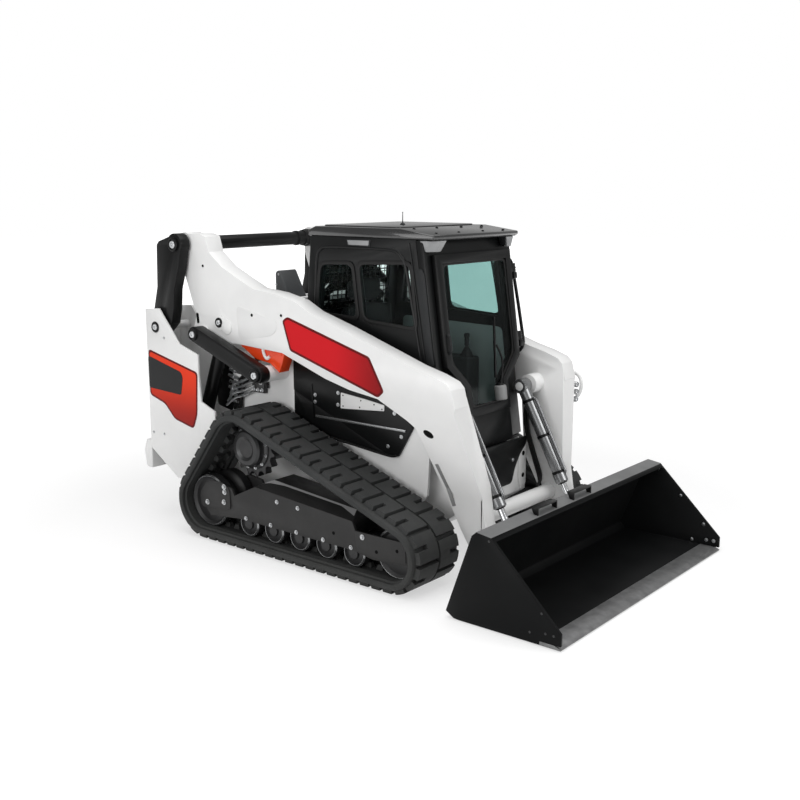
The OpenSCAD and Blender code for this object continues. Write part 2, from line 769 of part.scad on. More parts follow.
// Bucket: the side outline as shares of its length and height
bucket_o = [pp[0], bucket_lift];
bucket_size = [bucket_reach, bucket_h];
side_shares = [[1, 0.17], [0.459, 0.976], [0.341, 1], [0.302, 0.946], [0.096, 0.068],
    [0.163, 0.006], [0.20, 0]];
lip = pp[0] + bucket_reach;
edge_x = lip - edge_d;
floor_share = [0.17, 0];
heel = at(bucket_o, bucket_size, side_shares[4]);
back_top = at(bucket_o, bucket_size, side_shares[3]);
back_dir = (back_top - heel) / norm(back_top - heel);
back_nrm = [-back_dir[1], back_dir[0]];
back_len = norm(back_top - heel);

module bucket() {
    o = bucket_lift;
    inner = [[lip + over, o + bucket_t], at(bucket_o, bucket_size, floor_share) + [0, bucket_t],
        heel + bucket_t * [back_dir[1], 1], back_top + bucket_t * [back_dir[1], -1],
        at(bucket_o, bucket_size, side_shares[2]) + [0, -bucket_t],
        at(bucket_o, bucket_size, side_shares[1]) + [over, -bucket_t], [lip + over, bucket_h]];
    color("#1c1d1e")
        difference() {
            slab(concat([[edge_x, o], [edge_x, o + bucket_t], [lip, o + bucket_t]],
                outline(bucket_o, bucket_size, side_shares)), -bucket_w / 2, bucket_w / 2);
            slab(inner, bucket_side_t - bucket_w / 2, bucket_w / 2 - bucket_side_t);
        }
}

module cutting_edge() {
    color("#9a9b9c")
        slab([[edge_x, bucket_lift], [lip, bucket_lift], [lip, bucket_lift + bucket_t / 3],
            [lip - 2 * bucket_t, bucket_lift + bucket_t], [edge_x, bucket_lift + bucket_t]],
            -bucket_w / 2, bucket_w / 2);
}

// Two steps on the bucket's top edge, each a flat tread on two leaning brackets
step_y = [-530, -130];
step_w = 210;
step_d = 50;
step_h = 48;
step_t = 8;
step_foot_shares = [0.1, 0.4];

module bucket_steps() {
    front = at(bucket_o, bucket_size, side_shares[1]);
    run = at(bucket_o, bucket_size, side_shares[2]) - front;
    toe = front + step_foot_shares[0] * run;
    rise = toe + [0, step_h];
    color("#1b1c1d")
        for (y = step_y) {
            for (e = [y, y + step_w - step_t])
                slab([toe, rise, rise - [step_d, 0], front + step_foot_shares[1] * run], e, e + step_t);
            slab([rise, rise - [step_d, 0], rise - [step_d, step_t], rise - [0, step_t]], y, y + step_w);
        }
}

// Attachment plate behind the bucket, with ears for the arm's foot and the tilt rod
plate_gap = seat_fit;
plate_t = 26;
plate_side = 42;
ear_t = 18;
ear_gap = 5;
ear_y = [ram_y - tilt_foot_w / 2 - ear_t - ear_gap, foot_in_y - ear_t - ear_gap];
ear_out_y = leg_out_y + ear_gap;
ear_shares = [0.10, 0.84, 0.60];
plate_ends_shares = [0.06, 0.93];
slot_shares = [0.36, 0.88];
plate_hw = ear_out_y + ear_t + plate_side;
ear_boss_d = 120;
ear_top_d = 100;

function on_back(t, off) = heel + back_dir * t * back_len + back_nrm * off;

module ear(y0, top) {
    foot = on_back(ear_shares[0], plate_t / 2);
    pts = top ? [foot, on_back(ear_shares[1], plate_t / 2), ph + [0, ear_top_d / 2],
        ph - [ear_top_d / 2, 0], pp - [ear_boss_d / 2, 0], pp - [0, ear_boss_d / 2]]
        : [foot, on_back(ear_shares[2], plate_t / 2), pp + [0, ear_boss_d / 2],
        pp - [ear_boss_d / 2, 0], pp - [0, ear_boss_d / 2]];
    slab(pts, y0, y0 + ear_t);
}

module attach_plate() {
    color("#e4e4e2") {
        difference() {
            slab([on_back(plate_ends_shares[0], plate_gap), on_back(plate_ends_shares[1], plate_gap),
                on_back(plate_ends_shares[1], plate_t), on_back(plate_ends_shares[0], plate_t)],
                -plate_hw, plate_hw);
            both()
                slab([on_back(slot_shares[0], -over), on_back(slot_shares[1], -over),
                    on_back(slot_shares[1], plate_t + over), on_back(slot_shares[0], plate_t + over)],
                    ear_y[0] + ear_t, ear_y[1]);
        }
        both() {
            for (y = ear_y)
                ear(y, true);
            ear(ear_out_y, false);
            bar(pp, pin_d, ear_y[0], ear_out_y + ear_t);
        }
    }
}

// Cab: side walls with windows, rear wall, roof, floor and front frame
cab_len = cab_nose_x - cab_rear_x;
cab_h = cab_eave_z - deck_z;
cab_tan = tan(cab_lean);
cab_roof_rear = 72;
floor_t = 20;
cheek_d = 14;
cab_waist_share = 0.42;
cab_waist_z = deck_z + cab_waist_share * cab_h;
function front_x(z) = cab_nose_x - (z - deck_z - floor_t) * cab_tan;
front_t = 50;
front_back = front_t / cos(cab_lean) + seat_fit;
front_top_v = (cab_eave_z - deck_z - floor_t - front_t * sin(cab_lean)) / cos(cab_lean);
nose_share = 0.298;
brow_share = 0.4175;
front_lap = 20;
nose_v = nose_share * front_top_v;
brow_v = brow_share * front_top_v;
cab_knee_z = deck_z + floor_t + (brow_v - front_lap) * cos(cab_lean) + 2 * seat_fit;
cab_foot_x = front_x(deck_z + floor_t) - front_back - cheek_d;

function cab_side_pts() = [[cab_rear_x, deck_z + floor_t], [cab_rear_x, cab_waist_z],
    [cab_rear_x + cab_roof_rear, cab_eave_z], [front_x(cab_eave_z) - front_back, cab_eave_z],
    [front_x(cab_knee_z) - front_back, cab_knee_z], [front_x(cab_knee_z) - front_back - cheek_d, cab_knee_z],
    [cab_foot_x, deck_z + floor_t]];

// Side window: shares of the height, set back from the rear and front edges of the wall
window_z_shares = [0.635, 0.872, 0.895, 0.60];
window_rear = [90, 100];
window_front = [60, 66];
function window_z(i) = deck_z + window_z_shares[i] * cab_h;
function window_pts() = [[rear_x(window_z(0)) + window_rear[0], window_z(0)],
    [rear_x(window_z(1)) + window_rear[1], window_z(1)],
    [front_x(window_z(2)) - front_back - window_front[0], window_z(2)],
    [front_x(window_z(3)) - front_back - window_front[1], window_z(3)]];
window_bar_shares = [[0.36, 0.94], [0.398, 0.94], [0.453, 0.56], [0.415, 0.56]];
window_o = [cab_rear_x, deck_z];

module window(y0, y1) {
    difference() {
        slab(window_pts(), y0, y1);
        slab(outline(window_o, [cab_len, cab_h], window_bar_shares), y0 - over, y1 + over);
    }
}

module cab_side() {
    difference() {
        slab(cab_side_pts(), cab_hw - cab_t, cab_hw);
        window(cab_hw - cab_t - over, cab_hw + over);
    }
}

module cab_left() {
    color("#202223")
        cab_side();
}

module cab_right() {
    color("#202223")
        mirror([0, 1, 0])
            cab_side();
}

module side_glass() {
    color("#7fb3b0", 0.5)
        both()
            window(cab_hw - cab_t / 2 - glass_t / 2, cab_hw - cab_t / 2 + glass_t / 2);
}

rear_z_shares = [0.63, 0.90];
rear_hw_share = 0.80;
rear_in_y = cab_hw - cab_t;
function rear_x(z) = z < cab_waist_z ? cab_rear_x
    : cab_rear_x + cab_roof_rear * (z - cab_waist_z) / (cab_eave_z - cab_waist_z);
screen_t = 10;
screen_w = 8;
screen_bars = [7, 5];

module rear_hole(grow) {
    z0 = deck_z + rear_z_shares[0] * cab_h;
    z1 = deck_z + rear_z_shares[1] * cab_h;
    box([cab_rear_x - grow, -rear_hw_share * rear_in_y, z0],
        [cab_rear_x + cab_roof_rear + cab_t + grow, rear_hw_share * rear_in_y, z1]);
}

module cab_rear() {
    z0 = deck_z + rear_z_shares[0] * cab_h;
    z1 = deck_z + rear_z_shares[1] * cab_h;
    hw = rear_hw_share * rear_in_y;
    color("#202223") {
        difference() {
            slab([[cab_rear_x, deck_z + floor_t], [cab_rear_x + cab_t, deck_z + floor_t],
                [cab_rear_x + cab_t, cab_waist_z], [rear_x(cab_eave_z) + cab_t, cab_eave_z],
                [rear_x(cab_eave_z), cab_eave_z], [cab_rear_x, cab_waist_z]], -rear_in_y, rear_in_y);
            rear_hole(over);
        }
        for (k = [1 : screen_bars[0]]) {
            y = hw * (2 * k / (screen_bars[0] + 1) - 1);
            screen_bar(z0 - screen_w, z1 + screen_w, y - screen_w / 2, y + screen_w / 2);
        }
        for (k = [1 : screen_bars[1]]) {
            z = z0 + (z1 - z0) * k / (screen_bars[1] + 1);
            screen_bar(z - screen_w / 2, z + screen_w / 2, -hw - screen_w, hw + screen_w);
        }
    }
}

// Bar of the guard across the rear window, flush with the wall's outer face
module screen_bar(z0, z1, y0, y1) {
    slab([[rear_x(z0), z0], [rear_x(z0) + screen_t, z0], [rear_x(z1) + screen_t, z1], [rear_x(z1), z1]],
        y0, y1);
}

module rear_glass() {
    z0 = deck_z + rear_z_shares[0] * cab_h;
    z1 = deck_z + rear_z_shares[1] * cab_h;
    m = cab_t / 2 - glass_t / 2;
    color("#7fb3b0", 0.5)
        slab([[rear_x(z0) + m, z0], [rear_x(z0) + m + glass_t, z0], [rear_x(z1) + m + glass_t, z1],
            [rear_x(z1) + m, z1]], -rear_hw_share * rear_in_y, rear_hw_share * rear_in_y);
}

roof_over = 20;
roof_shares = [[0, 0], [0.0, 0.6], [0.06, 1], [0.75, 1], [1, 0.45], [1, 0]];
roof_rear_x = rear_x(cab_eave_z) - roof_over;
roof_visor = 80;
roof_front_x = front_x(cab_eave_z) + roof_visor;

module cab_roof() {
    color("#232526")
        slab(outline([roof_rear_x, cab_eave_z], [roof_front_x - roof_rear_x, roof_t], roof_shares),
            -cab_hw, cab_hw);
}

nose_in = 175;
nose_hw = cab_hw - nose_in;

module cab_floor() {
    color("#2a2c2d") {
        box([cab_rear_x, -cab_hw, deck_z], [cab_foot_x, cab_hw, deck_z + floor_t]);
        box([cab_foot_x - floor_t, -nose_hw, deck_z], [cab_nose_x - front_t, nose_hw, deck_z + floor_t]);
    }
}

// Front of the cab, drawn in its own leaning plane: y across, v up from the floor
module on_front() {
    translate([cab_nose_x, 0, deck_z + floor_t + front_t * sin(cab_lean)])
        rotate([0, -cab_lean, 0])
            children();
}
door_in = 60;
door_low_in = 225;
door_hw = cab_hw - door_in;
door_low_hw = cab_hw - door_low_in;
door_bottom_share = 0.162;
door_bottom_v = door_bottom_share * front_top_v;
door_head = 95;
door_top_v = front_top_v - door_head;
door_rim = 55;
door_lap = 20;

function front_pts(hw, low, v0, v1, v2, v3) = [[-low, v0], [low, v0], [low, v1], [hw, v2], [hw, v3],
    [-hw, v3], [-hw, v2], [-low, v1]];
function door_pts(inset) = front_pts(door_hw - inset, door_low_hw - inset, door_bottom_v + inset,
    nose_v + inset / 4, brow_v + inset / 4, door_top_v - inset);

module cab_front() {
    color("#1d1f20")
        on_front() {
            difference() {
                front_slab(front_pts(cab_hw, nose_hw, 0, nose_v - front_lap, brow_v - front_lap, front_top_v),
                    -front_t, 0);
                front_slab(door_pts(door_lap), -front_t - over, over);
            }
            for (v = door_hinge_v)
                door_block(v);
            both()
                cheek();
        }
}

// Panel that closes the cab's corner from the nose to the side wall
module cheek() {
    hull() {
        translate([-front_t, nose_hw - door_rim, cheek_d])
            cube([front_t / 2, door_rim, nose_v - front_lap - cheek_d]);
        translate([-front_t - cheek_d + seat_fit, cab_hw - cab_t, cheek_d])
            cube([cheek_d, cab_t, brow_v - front_lap - cheek_d]);
    }
}

door_hinge_shares = [0.477, 0.813];
door_hinge_v = door_hinge_shares * front_top_v;
door_axis_in = 18;
door_axis_y = cab_hw - door_axis_in;
door_axis_x = door_t / 2 + collar_gap;
door_pin_d = 20;
door_knuckle_d = 36;
door_knuckle_h = 60;
door_block_h = 40;

module door_block(v) {
    translate([0, door_axis_y - door_knuckle_d / 2, v - door_block_h])
        cube([door_axis_x + door_knuckle_d / 2, door_knuckle_d, door_block_h]);
    translate([door_axis_x, door_axis_y, v - door_block_h])
        cylinder(d = door_pin_d, h = door_block_h + door_knuckle_h);
}

module door_frame() {
    color("#161718")
        on_front()
            difference() {
                union() {
                    difference() {
                        front_slab(door_pts(0), collar_gap, collar_gap + door_t);
                        front_slab(door_pts(door_rim), collar_gap - over, door_t + over);
                    }
                    for (v = door_hinge_v) {
                        translate([door_axis_x, door_axis_y, v + seat_fit])
                            cylinder(d = door_knuckle_d, h = door_knuckle_h);
                        translate([door_axis_x - door_knuckle_d / 4, door_hw - door_rim / 2, v + seat_fit])
                            cube([door_knuckle_d / 2, door_axis_y - door_hw + door_rim / 2, door_knuckle_h]);
                    }
                }
                for (v = door_hinge_v)
                    translate([door_axis_x, door_axis_y, v - over])
                        cylinder(d = door_pin_d + 2 * run_fit, h = door_knuckle_h + 2 * over);
            }
}

module door_glass() {
    m = collar_gap + door_t / 2;
    color("#7fb3b0", 0.5)
        on_front()
            front_slab(door_pts(door_rim), m - glass_t / 2, m + glass_t / 2);
}

// Tube guard on the left of the cab, beside the door's hinges
guard_d = 26;
guard_out = 70;
guard_back = 45;
guard_z_shares = [0.42, 0.872];
function guard_p(i) = [front_x(deck_z + guard_z_shares[i] * cab_h) - front_t - guard_back,
    deck_z + guard_z_shares[i] * cab_h];

module door_guard() {
    color("#131415") {
        for (i = [0, 1])
            bar(guard_p(i), guard_d, cab_hw, cab_hw + guard_out + guard_d / 2);
        rod_bar(guard_p(0), guard_p(1), cab_hw + guard_out, guard_d, 0, norm(guard_p(1) - guard_p(0)));
    }
}

// Seat and controls
seat_x = [-330, 180];
seat_in = 220;
seat_hw = cab_hw - seat_in;
seat_z_shares = [0.311, 0.785];
seat_z = [deck_z + floor_t, deck_z + seat_z_shares[0] * cab_h];
seat_back_x = -440;
seat_back_t = 130;
seat_back_z = deck_z + seat_z_shares[1] * cab_h;
cushion_t = 130;
base_in = 48;
base_hw = seat_hw - base_in;

module seat() {
    color("#26292b") {
        box([seat_x[0], -base_hw, seat_z[0]], [seat_x[1] - seat_back_t, base_hw, seat_z[1] - cushion_t]);
        box([seat_x[0], -seat_hw, seat_z[1] - cushion_t], [seat_x[1], seat_hw, seat_z[1]]);
        box([seat_back_x, -seat_hw, seat_z[1] - cushion_t], [seat_x[0], seat_hw, seat_back_z]);
    }
}

console_len = 450;
console_back = 361;
console_in = [195, 55];
console_x = [cab_nose_x - console_back - console_len, cab_nose_x - console_back];
console_y = [cab_hw - console_in[0], cab_hw - console_in[1]];
console_share = 0.3926;
console_z = deck_z + console_share * cab_h;

module consoles() {
    color("#2d3032")
        both()
            box([console_x[0], console_y[0], deck_z + floor_t], [console_x[1], console_y[1], console_z]);
}

stick_d = 40;
stick_h = 160;
stick_back = 60;

module joysticks() {
    color("#1a1b1c")
        both()
            translate([console_x[1] - stick_back, (console_y[0] + console_y[1]) / 2, console_z])
                cylinder(d = stick_d, h = stick_h);
}

// Work lamps at the roof's front corners
lamp_t = 60;
lamp_in = 140;
lamp_size = [130, 80];
lamp_shares = [[0, 0], [1, 0], [1, -0.45], [0.80, -0.95], [0.45, -0.85]];

module roof_lamps() {
    color("#d9dde0")
        both()
            front_slab(outline([cab_hw - lamp_in, cab_eave_z], lamp_size, lamp_shares),
                roof_front_x - lamp_t, roof_front_x);
}

antenna_d = 12;
antenna_h = 90;
antenna_share = 0.5;

module antenna() {
    color("#111213")
        translate([roof_rear_x + antenna_share * (roof_front_x - roof_rear_x), -cab_hw / 4,
            cab_eave_z + roof_t])
            cylinder(d = antenna_d, h = antenna_h);
}

// Tie-down lugs with bores under the rear bumper
tie_t = 30;
tie_bore_d = 50;
tie_r = 42;
tie_in = 100;
tie_y = plate_y - tie_in;
tie_drop = 45;
tie_ahead = 60;

module tie_downs() {
    p = [bumper_x + tie_ahead, bumper_z - tie_drop];
    color("#3a3c3e")
        both()
            difference() {
                union() {
                    bar(p, 2 * tie_r, tie_y, tie_y + tie_t);
                    box([p[0] - tie_r, tie_y, p[1]], [p[0] + tie_r, tie_y + tie_t, bumper_z]);
                }
                bar(p, tie_bore_d, tie_y - over, tie_y + tie_t + over);
            }
}

main_frame();
rear_towers();
side_panels();
engine();
hood();
intake_box();
rear_bumper();
tailgate();
track_frames();
tracks();
sprockets();
idlers();
rollers();
lift_arms();
cross_tube();
cross_beam();
arm_brace();
aux_couplers();
rear_links();
control_links();
lift_barrels();
lift_rods();
tilt_barrels();
tilt_rods();
attach_plate();
bucket();
cutting_edge();
bucket_steps();
cab_right();
cab_left();
cab_rear();
cab_roof();
cab_floor();
cab_front();
side_glass();
rear_glass();
seat();
consoles();
joysticks();
roof_lamps();
antenna();
door_frame();
door_glass();
door_guard();
tie_downs();
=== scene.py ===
import json
import math

import bmesh
import bpy
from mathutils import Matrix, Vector
from mathutils.bvhtree import BVHTree


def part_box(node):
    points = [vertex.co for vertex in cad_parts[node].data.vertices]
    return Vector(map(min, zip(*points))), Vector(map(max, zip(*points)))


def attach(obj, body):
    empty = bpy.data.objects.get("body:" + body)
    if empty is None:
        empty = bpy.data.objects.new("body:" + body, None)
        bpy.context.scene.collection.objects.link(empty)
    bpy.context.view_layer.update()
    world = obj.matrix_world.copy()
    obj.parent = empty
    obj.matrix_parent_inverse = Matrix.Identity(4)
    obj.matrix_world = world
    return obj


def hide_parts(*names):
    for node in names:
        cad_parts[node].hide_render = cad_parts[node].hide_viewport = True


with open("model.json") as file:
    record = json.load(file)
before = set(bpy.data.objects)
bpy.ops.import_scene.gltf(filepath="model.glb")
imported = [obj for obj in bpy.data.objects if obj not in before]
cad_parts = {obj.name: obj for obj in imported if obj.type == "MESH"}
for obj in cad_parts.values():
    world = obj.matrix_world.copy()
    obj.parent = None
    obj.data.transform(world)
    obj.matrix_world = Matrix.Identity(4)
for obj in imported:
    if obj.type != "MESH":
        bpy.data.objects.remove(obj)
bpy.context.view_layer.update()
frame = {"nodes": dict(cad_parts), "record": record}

MM = 0.001
TURN = 2 * math.pi
SIDES = ((-1, "right"), (1, "left"))
SCENE = bpy.context.scene


# Shader helpers
def node_of(tree, kind, **values):
    n = tree.nodes.new(kind)
    for key, value in values.items():
        if hasattr(n, key):
            setattr(n, key, value)
        else:
            n.inputs[key.replace("_", " ")].default_value = value
    return n


def scaled(tree, source, lo, hi, start=0.0, end=1.0, curve="LINEAR"):
    """The source's run from start to end, spread over lo to hi."""
    n = node_of(tree, "ShaderNodeMapRange", interpolation_type=curve)
    for key, value in (("From Min", start), ("From Max", end), ("To Min", lo), ("To Max", hi)):
        n.inputs[key].default_value = value
    tree.links.new(source, n.inputs["Value"])
    return n.outputs["Result"]


def mixed(tree, fac, a, b):
    n = node_of(tree, "ShaderNodeMix", data_type="RGBA")
    tree.links.new(fac, n.inputs[0])
    for socket, value in ((n.inputs[6], a), (n.inputs[7], b)):
        if isinstance(value, tuple):
            socket.default_value = (*value[:3], 1)
        else:
            tree.links.new(value, socket)
    return n.outputs[2]


def combined(tree, operation, a, b, clamp=False):
    n = node_of(tree, "ShaderNodeMath", operation=operation, use_clamp=clamp)
    tree.links.new(a, n.inputs[0])
    tree.links.new(b, n.inputs[1])
    return n.outputs[0]


def blended(tree, fac, a, b, out):
    """Mix of two shaders into the output; the share is a number or a socket."""
    n = tree.nodes.new("ShaderNodeMixShader")
    if isinstance(fac, float):
        n.inputs[0].default_value = fac
    else:
        tree.links.new(fac, n.inputs[0])
    tree.links.new(a.outputs[0], n.inputs[1])
    tree.links.new(b.outputs[0], n.inputs[2])
    tree.links.new(n.outputs[0], out.inputs["Surface"])


def noise(tree, coords, scale, detail=4.0):
    n = node_of(tree, "ShaderNodeTexNoise", Scale=scale, Detail=detail)
    tree.links.new(coords, n.inputs["Vector"])
    return n.outputs["Fac"]


def axis_of(tree, coords, axis):
    split = tree.nodes.new("ShaderNodeSeparateXYZ")
    tree.links.new(coords, split.inputs[0])
    return split.outputs[axis]


# Materials: every one is driven by noise in the piece's own space
DUST_COLOUR, DUST_TOP = (0.3, 0.27, 0.23), 0.7
GRAIN_DEPTH = 0.0006


def surface(name, low, high, rough=(0.3, 0.45), metal=0.0, vary=5.0, grain=350.0, bump=0.08, coat=0.0,
        dust=0.0, shine=0.5):
    """Colour between low and high, and a gloss and grain that vary with it; dust fades out upwards."""
    m = bpy.data.materials.new(name)
    m.use_nodes = True
    t = m.node_tree
    p = t.nodes["Principled BSDF"]
    coords = t.nodes.new("ShaderNodeTexCoord").outputs["Object"]
    colour = mixed(t, scaled(t, noise(t, coords, vary), -0.35, 1.35), low, high)
    if dust:
        fall = scaled(t, axis_of(t, coords, "Z"), dust, 0.0, end=DUST_TOP)
        colour = mixed(t, combined(t, "MULTIPLY", fall, noise(t, coords, 14.0, 8.0)), colour, DUST_COLOUR)
    t.links.new(colour, p.inputs["Base Color"])
    t.links.new(scaled(t, noise(t, coords, vary * 3, 6.0), *rough), p.inputs["Roughness"])
    b = node_of(t, "ShaderNodeBump", Strength=bump, Distance=GRAIN_DEPTH)
    t.links.new(noise(t, coords, grain, 3.0), b.inputs["Height"])
    t.links.new(b.outputs["Normal"], p.inputs["Normal"])
    for key, value in (("Metallic", metal), ("Coat Weight", coat), ("Specular IOR Level", shine)):
        p.inputs[key].default_value = value
    return m


def glazing(name, low, high, gloss):
    """Tinted pane: light goes straight through it, a small share is mirrored."""
    m = surface(name, high, high, (0.02, 0.05), metal=1.0, bump=0.0)
    t = m.node_tree
    clear = t.nodes.new("ShaderNodeBsdfTransparent")
    coords = t.nodes["Texture Coordinate"].outputs["Object"]
    t.links.new(mixed(t, noise(t, coords, 2.0), low, high), clear.inputs["Color"])
    blended(t, gloss, clear, t.nodes["Principled BSDF"], t.nodes["Material Output"])
    return m


def banner(name, start, end, lo, hi, axis):
    """Paint that runs from one colour to another along one axis of the piece."""
    m = surface(name, start, end, (0.34, 0.46), shine=0.15)
    t = m.node_tree
    place = axis_of(t, t.nodes["Texture Coordinate"].outputs["Object"], axis)
    run = scaled(t, place, 0.0, 1.0, lo, hi, "SMOOTHSTEP")
    t.links.new(mixed(t, run, start, end), t.nodes["Principled BSDF"].inputs["Base Color"])
    return m


WHITE = surface("white_paint", (0.785, 0.785, 0.78), (0.845, 0.845, 0.84), (0.26, 0.36), coat=0.2, dust=0.05)
BLACK = surface("black_paint", (0.0036, 0.0038, 0.004), (0.0062, 0.0064, 0.0066), (0.28, 0.4), grain=700,
    bump=0.1, shine=0.2)
CABIN = surface("cab_paint", (0.004, 0.0044, 0.0046), (0.007, 0.0075, 0.0078), (0.26, 0.38), grain=900,
    bump=0.14, shine=0.22)
# Roof black: a gloss coat over a lighter black than the cab's; the lighter black is painted sheen on the top
ROOF_SHEEN = surface("roof_paint_painted_sheen", (0.0105, 0.0108, 0.011), (0.016, 0.0163, 0.0166), (0.18, 0.26), grain=900,
    bump=0.06, coat=0.8)
GREY = surface("frame_grey", (0.017, 0.017, 0.0173), (0.026, 0.026, 0.0265), (0.42, 0.55), dust=0.05,
    bump=0.15, shine=0.3)
# Grey for the track frame's sloping top: painted light, a lit copy of the dark frame grey
LIT_TOP_GREY = surface("frame_top_painted_light", (0.27, 0.27, 0.272), (0.33, 0.33, 0.332), (0.4, 0.52), dust=0.06,
    bump=0.12)
IRON = surface("cast_iron", (0.014, 0.014, 0.0145), (0.026, 0.026, 0.027), (0.36, 0.55), grain=220, bump=0.35)
RUBBER = surface("track_rubber", (0.028, 0.0295, 0.0295), (0.043, 0.0445, 0.0445), (0.55, 0.75), grain=260,
    bump=0.35, dust=0.06, shine=0.2)
HOSE = surface("hose_rubber", (0.005, 0.005, 0.005), (0.009, 0.009, 0.009), (0.38, 0.52), grain=900, bump=0.3,
    shine=0.25)
CHROME = surface("chrome", (0.7, 0.71, 0.72), (0.8, 0.81, 0.82), (0.08, 0.16), metal=1.0, bump=0.02)
STEEL = surface("worn_steel", (0.12, 0.121, 0.122), (0.24, 0.241, 0.242), (0.3, 0.46), metal=0.4, vary=16,
    grain=180, bump=0.3)
BRUSHED = surface("cylinder_grey", (0.22, 0.224, 0.228), (0.32, 0.325, 0.33), (0.2, 0.3), metal=0.8,
    bump=0.06)
HUB = surface("hub_iron", (0.03, 0.0305, 0.031), (0.055, 0.056, 0.057), (0.24, 0.38), metal=0.5, grain=260,
    bump=0.15)
BOLT = surface("zinc_bolt", (0.46, 0.47, 0.48), (0.62, 0.63, 0.64), (0.22, 0.36), metal=1.0, grain=500,
    bump=0.1)
ORANGE = surface("orange_paint", (0.78, 0.05, 0.008), (0.9, 0.075, 0.012), (0.28, 0.4), coat=0.2)
PLASTIC = surface("dark_plastic", (0.01, 0.011, 0.012), (0.018, 0.019, 0.02), (0.46, 0.6), grain=900,
    bump=0.35, shine=0.25)
BOXGREY = surface("intake_grey", (0.04, 0.043, 0.046), (0.054, 0.057, 0.06), (0.42, 0.55), grain=700,
    bump=0.3)
FABRIC = surface("seat_fabric", (0.01, 0.0105, 0.011), (0.022, 0.023, 0.024), (0.8, 0.95), grain=1400,
    bump=0.9, vary=40)
PIPING = surface("seat_piping", (0.03, 0.031, 0.033), (0.045, 0.046, 0.048), (0.55, 0.7), grain=1200,
    bump=0.4)
LENS = surface("lamp_lens", (0.23, 0.235, 0.24), (0.36, 0.365, 0.37), (0.22, 0.34), bump=0.25, grain=120,
    shine=0.3)
REDLENS = surface("red_lens", (0.35, 0.008, 0.008), (0.5, 0.014, 0.012), (0.1, 0.2), bump=0.25, grain=140,
    coat=0.6)
BUCKET = surface("bucket_black", (0.0045, 0.0048, 0.005), (0.0085, 0.0088, 0.009), (0.26, 0.4), grain=120,
    bump=0.08, vary=3, shine=0.08)
PLATEGREY = surface("plate_grey", (0.2, 0.2, 0.2), (0.26, 0.26, 0.26), (0.38, 0.5))
# Near-black for holes and slots: painted shade standing for their depth
HOLE_SHADE = surface("painted_hole_shade", (0.002, 0.002, 0.0021), (0.0045, 0.0045, 0.0046), (0.75, 0.9), shine=0.1)
GLASS = glazing("teal_glass", (0.48, 0.64, 0.62), (0.53, 0.68, 0.66), 0.02)
NEAR = glazing("side_pane", (0.88, 0.93, 0.92), (0.91, 0.95, 0.945), 0.003)
CLEAR = glazing("door_glass", (0.84, 0.89, 0.885), (0.9, 0.935, 0.93), 0.014)
RED = banner("stripe_red", (0.62, 0.008, 0.014), (0.22, 0.004, 0.006), -0.1, 0.42, "X")
REDEDGE = surface("stripe_edge", (0.1, 0.002, 0.003), (0.15, 0.003, 0.004), (0.34, 0.46), shine=0.15)
FLAME = banner("panel_orange", (0.78, 0.045, 0.012), (0.3, 0.01, 0.006), 1.1, 0.72, "Z")
PANEL = surface("panel_black", (0.004, 0.0044, 0.0048), (0.009, 0.0094, 0.01), (0.28, 0.4), shine=0.2)
# Cab liner: its pale colour is partly painted light, raised so that the dimly lit inside of the cab reads
# brighter
LINER_PAINTED_LIGHT = surface("cab_liner", (0.26, 0.31, 0.305), (0.31, 0.36, 0.355), (0.6, 0.75), grain=800, bump=0.3,
    shine=0.2)
LIP = surface("bucket_lip_grey", (0.125, 0.127, 0.128), (0.185, 0.187, 0.188), (0.4, 0.55), grain=160,
    bump=0.15)

# Material slot that goes with each finish, where a piece doesn't say another
SLOT_FOR = {m.name: slot for slot, finishes in (("black_paint", (BLACK, CABIN, ROOF_SHEEN, HOLE_SHADE, PANEL)),
    ("white_paint", (WHITE,)), ("orange_paint", (ORANGE, RED, FLAME, REDEDGE)),
    ("grey_paint", (GREY, LIT_TOP_GREY, PLATEGREY, BRUSHED)), ("dark_plastic", (PLASTIC, LINER_PAINTED_LIGHT)),
    ("lamp_lens", (LENS, REDLENS)), ("rubber", (RUBBER, HOSE)), ("chrome", (CHROME, BOLT)),
    ("cast_iron", (IRON, HUB))) for m in finishes}


# Mesh helpers
def to_world(plane, u, v, w):
    return Vector((u, w, v)) if plane == "y" else Vector((w, u, v)) if plane == "x" else Vector((u, v, w))


def loft(bm, low, high):
    """Closed solid between two loops with as many points each."""
    low, high = [[bm.verts.new(p) for p in loop] for loop in (low, high)]
    bm.faces.new(low)
    bm.faces.new(list(reversed(high)))
    for i in range(len(low)):
        bm.faces.new((low[i - 1], low[i], high[i], high[i - 1]))


def prism(bm, pts, plane, a, b):
    """Outline pushed from a to b across the plane, in metres."""
    loft(bm, *[[to_world(plane, u, v, w) for u, v in pts] for w in (a, b)])


def band(bm, loops):
    """Frame between an outer and an inner loop, near ones first, then the far ones."""
    loops = [[bm.verts.new(p) for p in loop] for loop in loops]
    for i in range(len(loops[0])):
        for p, q in ((0, 1), (1, 3), (3, 2), (2, 0)):
            bm.faces.new((loops[p][i - 1], loops[p][i], loops[q][i], loops[q][i - 1]))


def rounded(pts, r, steps=5):
    """Outline with its corners rounded off."""
    out = []
    n = len(pts)
    for i in range(n):
        p, a, b = Vector(pts[i]), Vector(pts[i - 1]), Vector(pts[(i + 1) % n])
        da, db = (a - p), (b - p)
        cut = min(r, da.length * 0.45, db.length * 0.45)
        s, e = p + da.normalized() * cut, p + db.normalized() * cut
        for k in range(steps + 1):
            t = k / steps
            out.append(tuple(s * (1 - t) ** 2 + p * 2 * t * (1 - t) + e * t * t))
    return out


